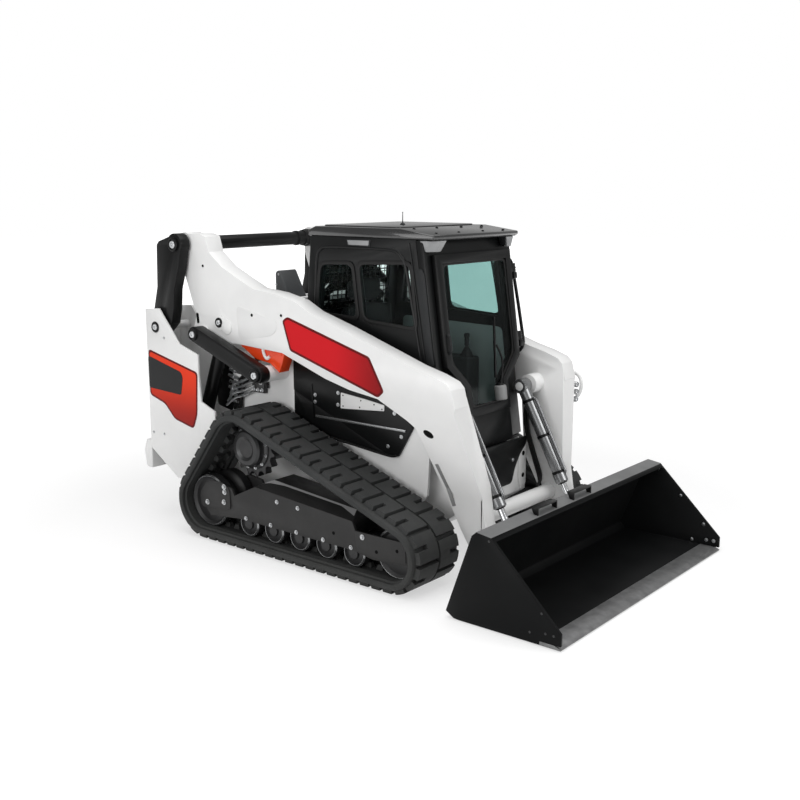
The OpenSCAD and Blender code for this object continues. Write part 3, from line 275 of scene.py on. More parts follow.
def inset(pts, d):
    """Outline moved inwards by d, for outlines of any turn."""
    n = len(pts)
    area = sum(pts[i - 1][0] * pts[i][1] - pts[i][0] * pts[i - 1][1] for i in range(n))
    sign = 1 if area > 0 else -1
    out = []
    for i in range(n):
        p, a, b = Vector(pts[i]), Vector(pts[i - 1]), Vector(pts[(i + 1) % n])
        e1, e2 = (p - a).normalized(), (b - p).normalized()
        n1, n2 = Vector((-e1.y, e1.x)) * sign, Vector((-e2.y, e2.x)) * sign
        out.append(tuple(p + (n1 + n2) * (d / max(0.25, (1 + n1.dot(n2))))))
    return out


def circle(bm, centre, u, v, r, segs):
    return [bm.verts.new(centre + (u * math.cos(a) + v * math.sin(a)) * r)
        for a in (TURN * k / segs for k in range(segs))]


def lathe(bm, profile, origin, axis, segs):
    """Profile of (radius, distance along the axis) turned round it, closed at open ends."""
    axis = Vector(axis).normalized()
    side = axis.orthogonal().normalized()
    up = axis.cross(side)
    rows = []
    for r, t in profile:
        c = Vector(origin) + axis * t
        rows.append([bm.verts.new(c)] if r < 1e-6 else circle(bm, c, side, up, r, segs))
    ends = [row for row in (rows[0], rows[-1]) if len(row) > 1]
    if len(ends) == 2:
        rows.append(rows[0])
    elif ends:
        bm.faces.new(ends[0])
    for p, q in zip(rows, rows[1:]):
        for k in range(segs):
            j = (k + 1) % segs
            face = [p[k % len(p)], p[j % len(p)], q[j % len(q)], q[k % len(q)]]
            face = [v for i, v in enumerate(face) if v not in face[:i]]
            if len(face) > 2:
                bm.faces.new(face)


def smooth_path(points, steps):
    """Catmull-Rom curve through the points."""
    pts = [Vector(p) for p in points]
    ends = [pts[0] * 2 - pts[1]] + pts + [pts[-1] * 2 - pts[-2]]
    out = []
    for i in range(1, len(ends) - 2):
        a, b, c, d = ends[i - 1:i + 3]
        for k in range(steps):
            t = k / steps
            out.append(0.5 * (2 * b + (c - a) * t + (2 * a - 5 * b + 4 * c - d) * t * t
                              + (3 * b - 3 * c + d - a) * t ** 3))
    return out + [pts[-1]]


def tube(bm, points, r, segs=12, steps=6, straight=False):
    """Round bar along the points, on a smooth curve unless it is straight."""
    path = [Vector(p) for p in points] if straight else smooth_path(points, steps)
    rows = []
    normal = (path[1] - path[0]).orthogonal().normalized()
    for i, p in enumerate(path):
        d = (path[min(i + 1, len(path) - 1)] - path[max(i - 1, 0)]).normalized()
        normal = (normal - d * normal.dot(d)).normalized()
        rows.append(circle(bm, p, normal, d.cross(normal), r, segs))
    for p, q in zip(rows, rows[1:]):
        for k in range(segs):
            j = (k + 1) % segs
            bm.faces.new((p[k], p[j], q[j], q[k]))
    bm.faces.new(list(reversed(rows[0])))
    bm.faces.new(rows[-1])


def bolt(bm, pos, normal, r, h):
    """Washer and chamfered hexagon head."""
    lathe(bm, [(0.0, 0.0), (r * 1.45, 0.0), (r * 1.45, h * 0.25), (r * 1.02, h * 0.3)], pos, normal, 20)
    lathe(bm, [(r * 0.98, h * 0.2), (r, h * 0.8), (r * 0.86, h), (0.0, h)], pos, normal, 6)


def block(bm, lo, hi):
    prism(bm, [(lo[0], lo[2]), (hi[0], lo[2]), (hi[0], hi[2]), (lo[0], hi[2])], "y", lo[1], hi[1])


BEVEL_ANGLE, SHARP_ANGLE = math.radians(28.0), 32.0


def piece(name, bm, material, body, slot, bevel=0.0, stands_for=(), sharp=SHARP_ANGLE):
    """Finish a mesh: rounded edges, smooth shading, material, and its place in the frame."""
    bmesh.ops.remove_doubles(bm, verts=bm.verts, dist=1e-6)
    bmesh.ops.recalc_face_normals(bm, faces=bm.faces)
    edges = [e for e in bm.edges if len(e.link_faces) == 2 and e.calc_face_angle(0.0) > BEVEL_ANGLE]
    if bevel and edges:
        bmesh.ops.bevel(bm, geom=edges, offset=bevel, segments=2, profile=0.5, affect="EDGES",
            clamp_overlap=True)
    bmesh.ops.recalc_face_normals(bm, faces=bm.faces)
    mesh = bpy.data.meshes.new(name)
    bm.to_mesh(mesh)
    bm.free()
    for f in mesh.polygons:
        f.use_smooth = True
    mesh.set_sharp_from_angle(angle=math.radians(sharp))
    mesh.materials.append(material)
    o = bpy.data.objects.new(name, mesh)
    SCENE.collection.objects.link(o)
    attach(o, body)
    if stands_for:
        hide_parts(*stands_for)
    return o


def node_mesh(node):
    """A working copy of a node's mesh with its flat faces joined up again."""
    bm = bmesh.new()
    bm.from_mesh(frame["nodes"][node].data)
    bmesh.ops.remove_doubles(bm, verts=bm.verts, dist=1e-5)
    bmesh.ops.dissolve_limit(bm, angle_limit=math.radians(0.4), verts=bm.verts, edges=bm.edges)
    return bm


BODY_OF = {n: b for b, members in frame["record"]["behaviour"]["bodies"].items() for n in members}
SLOT_OF = {s["node"]: s["material_slot"] for s in frame["record"]["subparts"]}

# Nodes that keep their own shape: rounded edges, in mm, and a finish
SKINS = [("main_frame", WHITE, 4), ("rear_towers", WHITE, 3), ("side_panels", BLACK, 4), ("engine", IRON, 8),
    ("hood", WHITE, 8), ("intake_box", BOXGREY, 6), ("rear_bumper", WHITE, 8), ("tailgate", BLACK, 1.5),
    ("track_frames", GREY, 3), ("lift_arms", WHITE, 5), ("cross_tube", BLACK, 3), ("cross_beam", WHITE, 2),
    ("arm_brace", ORANGE, 4), ("rear_links", BLACK, 5), ("control_links", BLACK, 5),
    ("lift_barrels", BLACK, 2), ("lift_rods", CHROME, 1), ("tilt_barrels", BRUSHED, 2),
    ("tilt_rods", CHROME, 1), ("attach_plate", WHITE, 3), ("bucket", BUCKET, 3), ("cutting_edge", STEEL, 2),
    ("bucket_steps", BLACK, 0.8), ("cab_right", CABIN, 6), ("cab_left", CABIN, 6), ("cab_rear", CABIN, 1.2),
    ("cab_roof", ROOF_SHEEN, 8), ("cab_floor", PLASTIC, 3), ("cab_front", CABIN, 4), ("rear_glass", NEAR, 0),
    ("consoles", PLASTIC, 14), ("door_frame", BLACK, 5), ("door_glass", CLEAR, 0), ("tie_downs", GREY, 3)]
for node, finish, edge_mm in SKINS:
    piece(node + "_skin", node_mesh(node), finish, BODY_OF[node], SLOT_OF[node], edge_mm * MM,
        stands_for=(node,))

# Side panes, a piece for each tint; the left ones part at the post between them
PANE_SPLIT, PANE_SLACK = -0.04, 0.002
for s, ahead, tag, finish in ((-1, 0, "right", NEAR), (1, -1, "left_rear", NEAR),
        (1, 1, "left_front", GLASS)):
    bm = node_mesh("side_glass")
    others = [v for v in bm.verts if v.co.y * s < 0 or (v.co.x - PANE_SPLIT) * ahead < -PANE_SLACK]
    bmesh.ops.delete(bm, geom=others, context="VERTS")
    piece("side_panes_" + tag, bm, finish, "frame", SLOT_OF["side_glass"],
        stands_for=("side_glass",) if s < 0 else ())

# The bucket's upper edge: its up-facing faces near the top, in a lighter grey
LIP_DEPTH, LIP_SUNK, LIP_THICK = 0.06, 0.001, 0.0022
bm = node_mesh("bucket")
bm.normal_update()
top_z = max(v.co.z for v in bm.verts)
others = [f for f in bm.faces if f.normal.z < 0.5 or f.calc_center_median().z < top_z - LIP_DEPTH]
bmesh.ops.delete(bm, geom=others, context="FACES")
for v in bm.verts:
    v.co.z -= LIP_SUNK
for v in bmesh.ops.extrude_face_region(bm, geom=bm.faces[:], use_keep_orig=True)["geom"]:
    if isinstance(v, bmesh.types.BMVert):
        v.co.z += LIP_THICK
piece("bucket_lip", bm, LIP, "bucket", SLOT_OF["bucket"])


# Tracks: belt, two staggered columns of lugs and the guide teeth inside.
# Wheels are the rear idler, the front idler and the sprocket: centre, and the belt's outer radius there
BELT, LUG = 0.04, 0.03
WHEELS = [((-1.04, 0.25), 0.22), ((0.613, 0.228), 0.198), ((-0.7, 0.66), 0.242)]
REAR_X, FRONT_X = WHEELS[0][0][0], WHEELS[1][0][0]
TRACK_IN, TRACK_OUT = 0.527, 0.977
TRACK_MID = (TRACK_IN + TRACK_OUT) / 2


def loop_parts():
    """Arc round each wheel and the straight run after it: centre, radius, start, turn, end, length."""
    parts = []
    heads = []
    for i in range(3):
        (c, r), (d, q) = WHEELS[i], WHEELS[(i + 1) % 3]
        span = Vector(d) - Vector(c)
        heads.append(math.atan2(span.y, span.x) - math.acos((r - q) / span.length))
    for i in range(3):
        (c, r), (d, q) = WHEELS[i], WHEELS[(i + 1) % 3]
        span = Vector(d) - Vector(c)
        wrap = (heads[i] - heads[i - 1]) % TURN
        run = math.sqrt(span.length ** 2 - (r - q) ** 2)
        parts.append((Vector(c), r, heads[i - 1], wrap, heads[i], run))
    return parts


LOOP = loop_parts()
LOOP_LEN = sum(r * wrap + run for c, r, h0, wrap, h1, run in LOOP)


def loop_at(s, off):
    """Point s metres round the track, off metres outside the belt's face."""
    s %= LOOP_LEN
    for c, r, h0, wrap, h1, run in LOOP:
        if s <= r * wrap:
            a = h0 + s / r
            return c + Vector((math.cos(a), math.sin(a))) * (r + off)
        s -= r * wrap
        if s <= run:
            return (c + Vector((math.cos(h1), math.sin(h1))) * (r + off)
                    + Vector((-math.sin(h1), math.cos(h1))) * s)
        s -= run
    return loop_at(0.0, off)


LUG_PITCH, BELT_STEPS = 0.18, 240
LUG_COUNT = round(LOOP_LEN / LUG_PITCH)
LUG_STEP = LOOP_LEN / LUG_COUNT
LUG_S = [-0.083, -0.064, -0.046, -0.028, -0.01, 0.01, 0.028, 0.046, 0.064, 0.083]
LUG_W = [0.004, 0.104, 0.194]
TOOTH = ((-BELT + 0.004, 0.028, 0.02), (-BELT - 0.03, 0.017, 0.012))
TOOTH_Y = 0.046


def lug(bm, s0, side, column):
    """Long tread block with a slot from its outer side to half its width."""
    def at(i, j, top):
        s, w = LUG_S[i], LUG_W[j]
        if top:
            if i in (0, 9):
                s -= math.copysign(0.005, s)
            elif i in (4, 5) and j:
                s += math.copysign(0.004, s)
            w += (0.004, -0.004 if i in (4, 5) else 0.0, -0.006)[j]
        p = loop_at(s0 + s, LUG if top else -0.004)
        return bm.verts.new((p.x, side * (TRACK_MID + (w if column else -w)), p.y))

    tops = [[at(i, j, True) for j in range(3)] for i in range(10)]
    feet = [[at(i, j, False) for j in range(3)] for i in range(10)]
    cells = {(i, j) for i in range(9) for j in range(2)} - {(4, 1)}
    for i, j in sorted(cells):
        bm.faces.new((tops[i][j], tops[i + 1][j], tops[i + 1][j + 1], tops[i][j + 1]))
        bm.faces.new((feet[i][j], feet[i][j + 1], feet[i + 1][j + 1], feet[i + 1][j]))
        for di, dj, a, b in ((-1, 0, (i, j), (i, j + 1)), (1, 0, (i + 1, j + 1), (i + 1, j)),
                (0, -1, (i + 1, j), (i, j)), (0, 1, (i, j + 1), (i + 1, j + 1))):
            if (i + di, j + dj) not in cells:
                bm.faces.new((tops[a[0]][a[1]], tops[b[0]][b[1]], feet[b[0]][b[1]], feet[a[0]][a[1]]))


def track(side, name):
    bm = bmesh.new()
    half = [(TRACK_OUT - 0.095, -BELT), (TRACK_OUT - 0.089, -BELT - 0.01), (TRACK_OUT - 0.04, -BELT - 0.01),
        (TRACK_OUT - 0.032, -BELT), (TRACK_OUT - 0.01, -BELT), (TRACK_OUT - 0.002, -BELT + 0.008),
        (TRACK_OUT, -0.022), (TRACK_OUT - 0.006, -0.008), (TRACK_OUT - 0.02, 0.0)]
    section = half + [(TRACK_IN + TRACK_OUT - y, off) for y, off in reversed(half)]
    rows = []
    for k in range(BELT_STEPS):
        points = [(y, loop_at(LOOP_LEN * k / BELT_STEPS, off)) for y, off in section]
        rows.append([bm.verts.new((p.x, side * y, p.y)) for y, p in points])
    for k in range(BELT_STEPS):
        for i in range(len(section)):
            bm.faces.new((rows[k - 1][i - 1], rows[k - 1][i], rows[k][i], rows[k][i - 1]))
    for k in range(LUG_COUNT):
        for column in (0, 1):
            lug(bm, (k + 0.5 + 0.4 * column) * LUG_STEP, side, column)
    teeth = 2 * LUG_COUNT
    for k in range(teeth):
        for y in (TRACK_MID - TOOTH_Y, TRACK_MID + TOOTH_Y):
            loops = []
            for h, long, wide in TOOTH:
                feet = ((-long, -wide), (long, -wide), (long, wide), (-long, wide))
                points = [(w, loop_at((k + 0.5) * LOOP_LEN / teeth + s, h)) for s, w in feet]
                loops.append([(p.x, side * (y + w), p.y) for w, p in points])
            loft(bm, *loops)
    return piece(name, bm, RUBBER, "frame", "rubber")


for s, tag in SIDES:
    belt = track(s, "track_belt_" + tag)
    if s < 0:
        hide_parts("tracks")


# Wheels inside the tracks
FRAME_IN, FRAME_OUT = 0.604, 0.9
PLATE, FIT = 0.02, 0.0003
WHEEL_IN, WHEEL_OUT = FRAME_IN + PLATE + 0.001, FRAME_OUT - PLATE - 0.001
ROLLER_MID, ROLLER_STEP = (FRONT_X + REAR_X) / 2 + 0.0215, (FRONT_X - REAR_X) * 0.1404
ROLLERS = [ROLLER_MID + (k - 2) * ROLLER_STEP for k in range(5)]
ROLLER_R, ROLLER_Z = 0.088, 0.1583


def wheel(bm, x, z, r, side, hub, dish):
    """Double-rimmed wheel with dished faces."""
    y0, y1 = WHEEL_IN, WHEEL_OUT
    mid = (y0 + y1) / 2
    profile = [(0.0, y0), (hub, y0), (hub * 1.1, y0 + 0.014), (r - dish, y0 + 0.02), (r - 0.01, y0 + 0.004),
        (r, y0 + 0.012), (r, y0 + 0.07), (r - 0.008, y0 + 0.08), (r - 0.05, mid - 0.03),
        (r - 0.05, mid + 0.03), (r - 0.008, y1 - 0.08), (r, y1 - 0.07), (r, y1 - 0.012),
        (r - 0.01, y1 - 0.004), (r - dish, y1 - 0.02), (hub * 1.1, y1 - 0.014), (hub, y1), (0.0, y1)]
    lathe(bm, profile, (x, 0.0, z), (0.0, side, 0.0), 48)


RIM = ((-0.0125, -0.0042), (-0.0098, -0.0034), (-0.0002, -0.0115), (0.0001, -0.018))
for node, circles, hub, dish in (("rollers", [(x, ROLLER_Z, ROLLER_R - FIT) for x in ROLLERS], 0.034, 0.018),
        ("idlers", [(*c, r - BELT - FIT) for c, r in WHEELS[:2]], 0.06, 0.03)):
    turned, rims = bmesh.new(), bmesh.new()
    for s in (-1, 1):
        for x, z, r in circles:
            wheel(turned, x, z, r, s, hub, dish)
            lathe(rims, [(r + dr, WHEEL_OUT + dy) for dr, dy in RIM], (x, 0.0, z), (0.0, s, 0.0), 48)
    piece(node + "_rims", rims, BRUSHED, "frame", SLOT_OF[node])
    piece(node + "_turned", turned, IRON, "frame", SLOT_OF[node], stands_for=(node,))


TEETH, BOLT_COUNT, BOLT_RING = 15, 12, 0.139
TOOTH_FORM = ((0.0, 0.845), (0.3, 0.845), (0.44, 0.9), (0.57, 1.0), (0.73, 1.0), (0.86, 0.9))
HUB_FORM = [(0.118, -0.04), (0.15, -0.03), (0.15, 0.036), (0.128, 0.05), (0.122, 0.085), (0.11, 0.098),
    (0.082, 0.104), (0.06, 0.092), (0.03, 0.096), (0.0, 0.098)]
HUB_FACES = ([(0.127, 0.0495), (0.1235, 0.0855), (0.111, 0.099), (0.082, 0.1052), (0.06, 0.0932)],
    [(0.146, 0.0362), (0.146, 0.0405), (0.131, 0.049)])


def sprocket():
    """Toothed discs with their drive hubs; profiles count from the middle of the track."""
    bm, bolts, face = bmesh.new(), bmesh.new(), bmesh.new()
    (cx, cz), r = WHEELS[2]
    r -= BELT + FIT
    mid = TRACK_MID
    for s in (-1, 1):
        middle, outwards = (cx, 0.0, cz), (0.0, s, 0.0)
        turns = [((k + f) * TURN / TEETH, q) for k in range(TEETH) for f, q in TOOTH_FORM]
        pts = [(cx + math.cos(a) * r * q, cz + math.sin(a) * r * q) for a, q in turns]
        prism(bm, pts, "y", s * (mid - 0.028), s * (mid + 0.028))
        hub = [(0.0, 0.52), (0.118, 0.52)] + [(hr, mid + y) for hr, y in HUB_FORM]
        lathe(bm, hub, middle, outwards, 48)
        for form in HUB_FACES:
            lathe(face, [(hr, mid + y) for hr, y in form], middle, outwards, 48)
        for k in range(BOLT_COUNT):
            a = (k + 0.5) * TURN / BOLT_COUNT
            place = (cx + BOLT_RING * math.cos(a), s * (mid + 0.043), cz + BOLT_RING * math.sin(a))
            bolt(bolts, place, (0, s, 0), 0.008, 0.01)
    piece("sprockets_cut", bm, IRON, "frame", "cast_iron", 0.0015, stands_for=("sprockets",))
    piece("sprocket_bolts", bolts, BOLT, "frame", "cast_iron")
    piece("sprocket_hubs", face, HUB, "frame", "cast_iron")


sprocket()

# Stripes and panels, a paint's thickness proud of the plates that carry them
ARM_Y, TOWER_Y, COVER_Y = 0.685, 0.8115, 0.529
STRIPE = [(-0.496, 1.512), (-0.45, 1.541), (0.242, 1.349), (0.359, 1.147), (0.312, 1.105), (-0.43, 1.322)]
DECAL = [(-1.72, 1.228), (-1.197, 1.112), (-1.214, 0.816), (-1.257, 0.71), (-1.458, 0.753), (-1.559, 0.851),
    (-1.72, 0.897)]
DECAL_IN = [(-1.7215, 1.18), (-1.372, 1.098), (-1.352, 1.06), (-1.375, 0.935), (-1.7215, 0.95)]
PAINTED = (("arm_stripe_edge_", STRIPE, 0.018, REDEDGE, ARM_Y, 0.002, 0.0012),
    ("arm_stripe_", inset(STRIPE, 0.016), 0.014, RED, ARM_Y, 0.001, 0.0024),
    ("tower_panel_edge_", DECAL, 0.03, REDEDGE, TOWER_Y, 0.002, 0.0012), ("tower_panel_", inset(DECAL, 0.014),
    0.024, FLAME, TOWER_Y, 0.001, 0.0024), ("tower_inset_", DECAL_IN, 0.02, PANEL, TOWER_Y, 0.0, 0.0036))
for s, tag in SIDES:
    for label, pts, corner, paint, y, sunk, proud in PAINTED:
        bm = bmesh.new()
        prism(bm, rounded(pts, corner), "y", s * (y - sunk), s * (y + proud))
        piece(label + tag, bm, paint, "lift_arms" if y == ARM_Y else "frame", SLOT_FOR[paint.name])

# Trim: small pieces are gathered by name, one mesh for each finish on each body
GROUPS = {}
PANES = [[(-0.403, 1.557), (-0.364, 1.877), (-0.085, 1.889), (-0.04, 1.537)],
    [(-0.04, 1.891), (0.383, 1.908), (0.433, 1.51), (0.005, 1.534)]]


def group(name, material, bevel=0.0, body="frame", slot=None):
    """The mesh that gathers the trim of this name."""
    if name not in GROUPS:
        GROUPS[name] = (bmesh.new(), material, body, slot or SLOT_FOR[material.name], bevel)
    return GROUPS[name][0]


def side_hit(node, x, z, side):
    """Where a line from outside meets the node's side, and the way that the surface faces there."""
    mesh = frame["nodes"][node].data
    tree = BVHTree.FromPolygons([v.co for v in mesh.vertices], [list(f.vertices) for f in mesh.polygons])
    place, normal, _, _ = tree.ray_cast(Vector((x, side * 3.0, z)), Vector((0.0, -side, 0.0)))
    return place, (normal if normal is None or normal.y * side > 0 else -normal)


def pin(body, x, y, z, side, r):
    """Pin head in a dark retainer."""
    retainer = group(body + "_pin_caps", BLACK, body=body)
    core = group(body + "_pin_heads", BOLT, body=body)
    lathe(retainer, [(r * 1.3, -0.01), (r * 1.3, 0.005), (r * 1.16, 0.009), (r * 0.95, 0.009),
        (r * 0.88, 0.003), (0.0, 0.003)], (x, side * y, z), (0, side, 0), 32)
    lathe(core, [(r * 0.74, 0.0), (r * 0.74, 0.007), (r * 0.62, 0.011), (r * 0.34, 0.011), (r * 0.28, 0.005),
        (0.0, 0.005)], (x, side * y, z), (0, side, 0), 24)


def plate(bm, pts, side, y, t, r):
    """Rounded plate on a side at y, t thick."""
    prism(bm, rounded(pts, r), "y", side * (y - 0.001), side * (y + t))


def upright(y, pts):
    """Points (x, z) of an outline or a path in the plane at y."""
    return [(x, y, z) for x, z in pts]


def dot(bm, x, y, z, side, r, t, segs, sunk=0.0):
    """Dark disc of painted shade that stands for a hole."""
    lathe(bm, [(r, -sunk), (r, t), (0.0, t)], (x, side * y, z), (0, side, 0), segs)


def bolts_at(bm, spots, y, side, r, h):
    for x, z in spots:
        bolt(bm, (x, side * y, z), (0, side, 0), r, h)


def strip(bm, a, b, normal, width, t):
    """Flat bar from a to b lying on a surface that faces along normal."""
    a, b, n = Vector(a), Vector(b), Vector(normal).normalized()
    along = (b - a).normalized()
    across = n.cross(along).normalized() * (width / 2)
    corners = [a - across, a + across, b + across, b - across]
    loft(bm, [p - n * 0.002 for p in corners], [p + n * t for p in corners])


PINS = (("frame", -1.63, TOWER_Y, 1.391, 0.03), ("frame", -0.659, 0.7905, 1.146, 0.034),
    ("lift_arms", -1.432, 0.7905, 1.972, 0.036), ("lift_arms", -1.095, 0.6945, 1.453, 0.026),
    ("control_links", -1.262, 0.7885, 1.367, 0.032))
TAIL_LAMPS = (("tail_lamp_frames", PLASTIC, 0.003, (-1.752, 0.69, 1.19), (-1.733, 0.78, 1.42)),
    ("tail_lamp_lenses", REDLENS, 0.004, (-1.76, 0.7, 1.31), (-1.75, 0.77, 1.41)),
    ("reverse_lenses", LENS, 0.004, (-1.76, 0.7, 1.205), (-1.75, 0.77, 1.29)))
LINES_IN, LINES_OUT = 0.521, 0.556
CAB_Y = 0.459
LIFT_FOOT, TILT_HEAD = (-1.41, 0.6175, 0.61), (0.675, 0.364, 1.072)
LIFT_DIR = Vector((0.315, 0.0, 0.843)).normalized()
TILT_DIR = Vector((0.405, 0.0, -0.755)).normalized()
TILT_UP = Vector((0.755, 0.0, 0.405)).normalized()
BUCKET_OUT, BUCKET_IN = 1.016, 0.998

# Trim on both sides
for s in (-1, 1):
    for where, x, y, z, r in PINS:
        pin(where, x, y, z, s, r)
    lathe(group("arm_bosses", WHITE, body="lift_arms"),
        [(0.056, -0.004), (0.052, 0.006), (0.036, 0.013), (0.0, 0.015)], (-1.03, s * ARM_Y, 1.428), (0, s, 0),
        32)
    plate(group("arm_doublers", WHITE, 0.0016, body="lift_arms"), [(-0.926, 1.585), (-0.537, 1.5),
        (-0.553, 1.44), (-0.6, 1.405), (-0.91, 1.345)], s, ARM_Y, 0.0026, 0.05)
    # Dark discs, a slot and an oval of painted shade stand for holes in the arm
    holes = group("arm_holes", HOLE_SHADE, body="lift_arms")
    for x, z, r in ((-0.777, 1.527, 0.011), (-1.25, 1.83, 0.009), (-0.505, 1.545, 0.009)):
        dot(holes, x, ARM_Y + 0.0022, z, s, r, 0.0012, 20, 0.002)
    plate(holes, [(-1.338, 1.505), (-1.312, 1.5), (-1.306, 1.432), (-1.33, 1.428)], s, ARM_Y, 0.0016, 0.012)
    hit, face = side_hit("lift_arms", 0.685, 0.93, s)
    if hit:
        along = Vector((0.058, 0.0, -0.039))
        along = (along - face * along.dot(face)).normalized()
        across = face.cross(along)
        rim = [hit + along * math.cos(a) * 0.036 + across * math.sin(a) * 0.021
            for a in (k * math.pi / 12 for k in range(24))]
        lo = [holes.verts.new(p - face * 0.004) for p in rim]
        hi = [holes.verts.new(p + face * 0.0015) for p in rim]
        holes.faces.new(hi)
        for k in range(24):
            holes.faces.new((lo[k], lo[(k + 1) % 24], hi[(k + 1) % 24], hi[k]))
    top, face_a = side_hit("lift_arms", 0.692, 0.735, s)
    foot, face_b = side_hit("lift_arms", 0.768, 0.47, s)
    mid, _ = side_hit("lift_arms", 0.73, 0.58, s)
    if top and foot and mid:
        rails = group("leg_strips", PLATEGREY, 0.001, body="lift_arms")
        strip(rails, top, mid, face_a, 0.024, 0.004)
        strip(rails, mid, foot, face_b, 0.024, 0.004)
    # Tower bolts and tail lamps
    tower = group("tower_bolts", BOLT, slot="cast_iron")
    bolts_at(tower, [(-1.542, 1.321), (-1.701, 0.624), (-1.582, 0.626)], TOWER_Y, s, 0.007, 0.006)
    for label, finish, bevel, lo, hi in TAIL_LAMPS:
        block(group(label, finish, bevel), (lo[0], s * lo[1], lo[2]), (hi[0], s * hi[1], hi[2]))
    # Side cover
    rail = group("cover_rails", BRUSHED, 0.002, slot="black_paint")
    strip(rail, (-0.355, s * COVER_Y, 0.879), (0.405, s * COVER_Y, 0.883), (0, s, 0), 0.016, 0.009)
    plate(group("cover_fillers", BLACK, 0.002), [(-0.56, 1.04), (-0.306, 0.936), (0.273, 0.706),
        (0.141, 0.712), (-0.198, 0.745), (-0.4, 0.8), (-0.56, 0.86)], s, 0.5065, 0.016, 0.012)
    lip = group("cover_lips", BLACK, 0.002)
    tube(lip, upright(s * COVER_Y, [(-0.23, 0.752), (0.06, 0.724), (0.271, 0.706), (0.33, 0.716)]), 0.009, 10,
        5)
    strip(lip, (-0.39, s * COVER_Y, 1.09), (-0.378, s * COVER_Y, 0.86), (0, s, 0), 0.008, 0.004)
    bolts_at(group("cover_bolts", BOLT, slot="cast_iron"), [(-0.361, 1.018), (-0.362, 0.971), (-0.158, 1.055),
        (-0.16, 0.977), (0.312, 0.983), (0.367, 0.841), (0.26, 0.765)], COVER_Y, s, 0.009, 0.007)
    plate(group("cover_plates", WHITE, 0.001), [(-0.132, 1.062), (0.06, 1.045), (0.232, 1.024),
        (0.232, 0.986), (-0.134, 0.957)], s, COVER_Y, 0.004, 0.008)
    # Dark discs of painted shade stand for the cover plate's holes
    dots = group("cover_plate_holes", HOLE_SHADE)
    for x, z in ((-0.112, 1.045), (-0.112, 0.975), (0.03, 0.985), (0.04, 1.03), (0.15, 1.018),
            (0.215, 0.996)):
        dot(dots, x, COVER_Y + 0.004, z, s, 0.005, 0.0012, 12)
    # Hydraulic lines on the tower's inner plate
    metal = group("steel_lines", BOLT)
    hose = group("frame_hoses", HOSE)
    for k, dz in enumerate((0.0, 0.034, 0.068, 0.102)):
        y = s * (0.55 + 0.006 * (k % 2))
        tube(metal, [(-1.205 + 0.02 * k, y, 0.845 + dz), (-1.12, y, 0.905 + dz), (-1.03, y, 0.935 + dz),
            (-0.96, y, 0.965 + dz), (-0.905, y, 1.0 + dz * 0.6)], 0.0085, 10, 4)
        lathe(metal, [(0.0, -0.012), (0.013, -0.01), (0.013, 0.01), (0.0, 0.012)], (-1.03, y, 0.935 + dz),
            (0.95, 0, 0.3), 6)
    for k in range(3):
        y = s * (0.533 + 0.004 * k)
        tube(hose, [(-1.14 + 0.035 * k, y, 0.8), (-1.11 + 0.035 * k, y, 0.98), (-1.02 + 0.04 * k, y, 1.09),
            (-0.9 + 0.03 * k, y, 1.11), (-0.8, y, 1.05 - 0.02 * k)], 0.011, 10, 6)
    for k in range(6):
        x, z = -1.185 + 0.012 * (k % 2), 0.895 + 0.042 * k
        lathe(metal, [(0.0, 0.0), (0.011, 0.0), (0.011, 0.03), (0.016, 0.034), (0.016, 0.056), (0.01, 0.06),
            (0.01, 0.1), (0.0, 0.1)], (x, s * 0.538, z), (1.0, 0.0, -0.18), 12)
    coil = group("coil_guards", BOLT)
    turns = [(k, 0.03 * math.cos(k * TURN / 12), 0.03 * math.sin(k * TURN / 12)) for k in range(73)]
    tube(coil, [(-0.85 + u + 0.0006 * k, s * (0.6 + v), 1.15 + 0.0017 * k) for k, u, v in turns], 0.005, 6, 1)
    tube(hose, [(-0.85, s * 0.6, 1.06), (-0.848, s * 0.6, 1.15), (-0.806, s * 0.6, 1.28),
        (-0.78, s * 0.56, 1.3), (-0.76, s * 0.535, 1.24)], 0.014, 10, 6)
    # Black plate behind the lines beside the lift cylinder: painted shadow of the cylinder on the tower's
    # inner plate
    plate(group("painted_shadow_plates", BLACK, 0.001),
        [(-1.33, 0.83), (-1.33, 1.23), (-1.17, 1.2), (-1.15, 0.96), (-1.17, 0.8)], s, 0.5205, 0.002, 0.03)
    mani = group("valve_blocks", IRON, 0.003)
    block(mani, (-0.935, s * LINES_IN, 0.975), (-0.815, s * LINES_OUT, 1.075))
    bolts_at(metal, [(-0.915, 0.995), (-0.875, 0.995), (-0.835, 0.995), (-0.895, 1.045), (-0.845, 1.045)],
        LINES_OUT, s, 0.009, 0.014)
    # Track frame: brackets, the sloping top, bolts and holes
    bracket = group("track_brackets", GREY, 0.002)
    plate(bracket, [(-1.09, 0.205), (-1.105, 0.3), (-1.037, 0.392), (-0.945, 0.412), (-0.86, 0.41),
        (-0.805, 0.375), (-0.8, 0.235)], s, FRAME_OUT, 0.008, 0.03)
    plate(bracket, [(0.305, 0.318), (0.7, 0.322), (0.706, 0.195), (0.52, 0.18), (0.33, 0.185)], s, FRAME_OUT,
        0.006, 0.01)
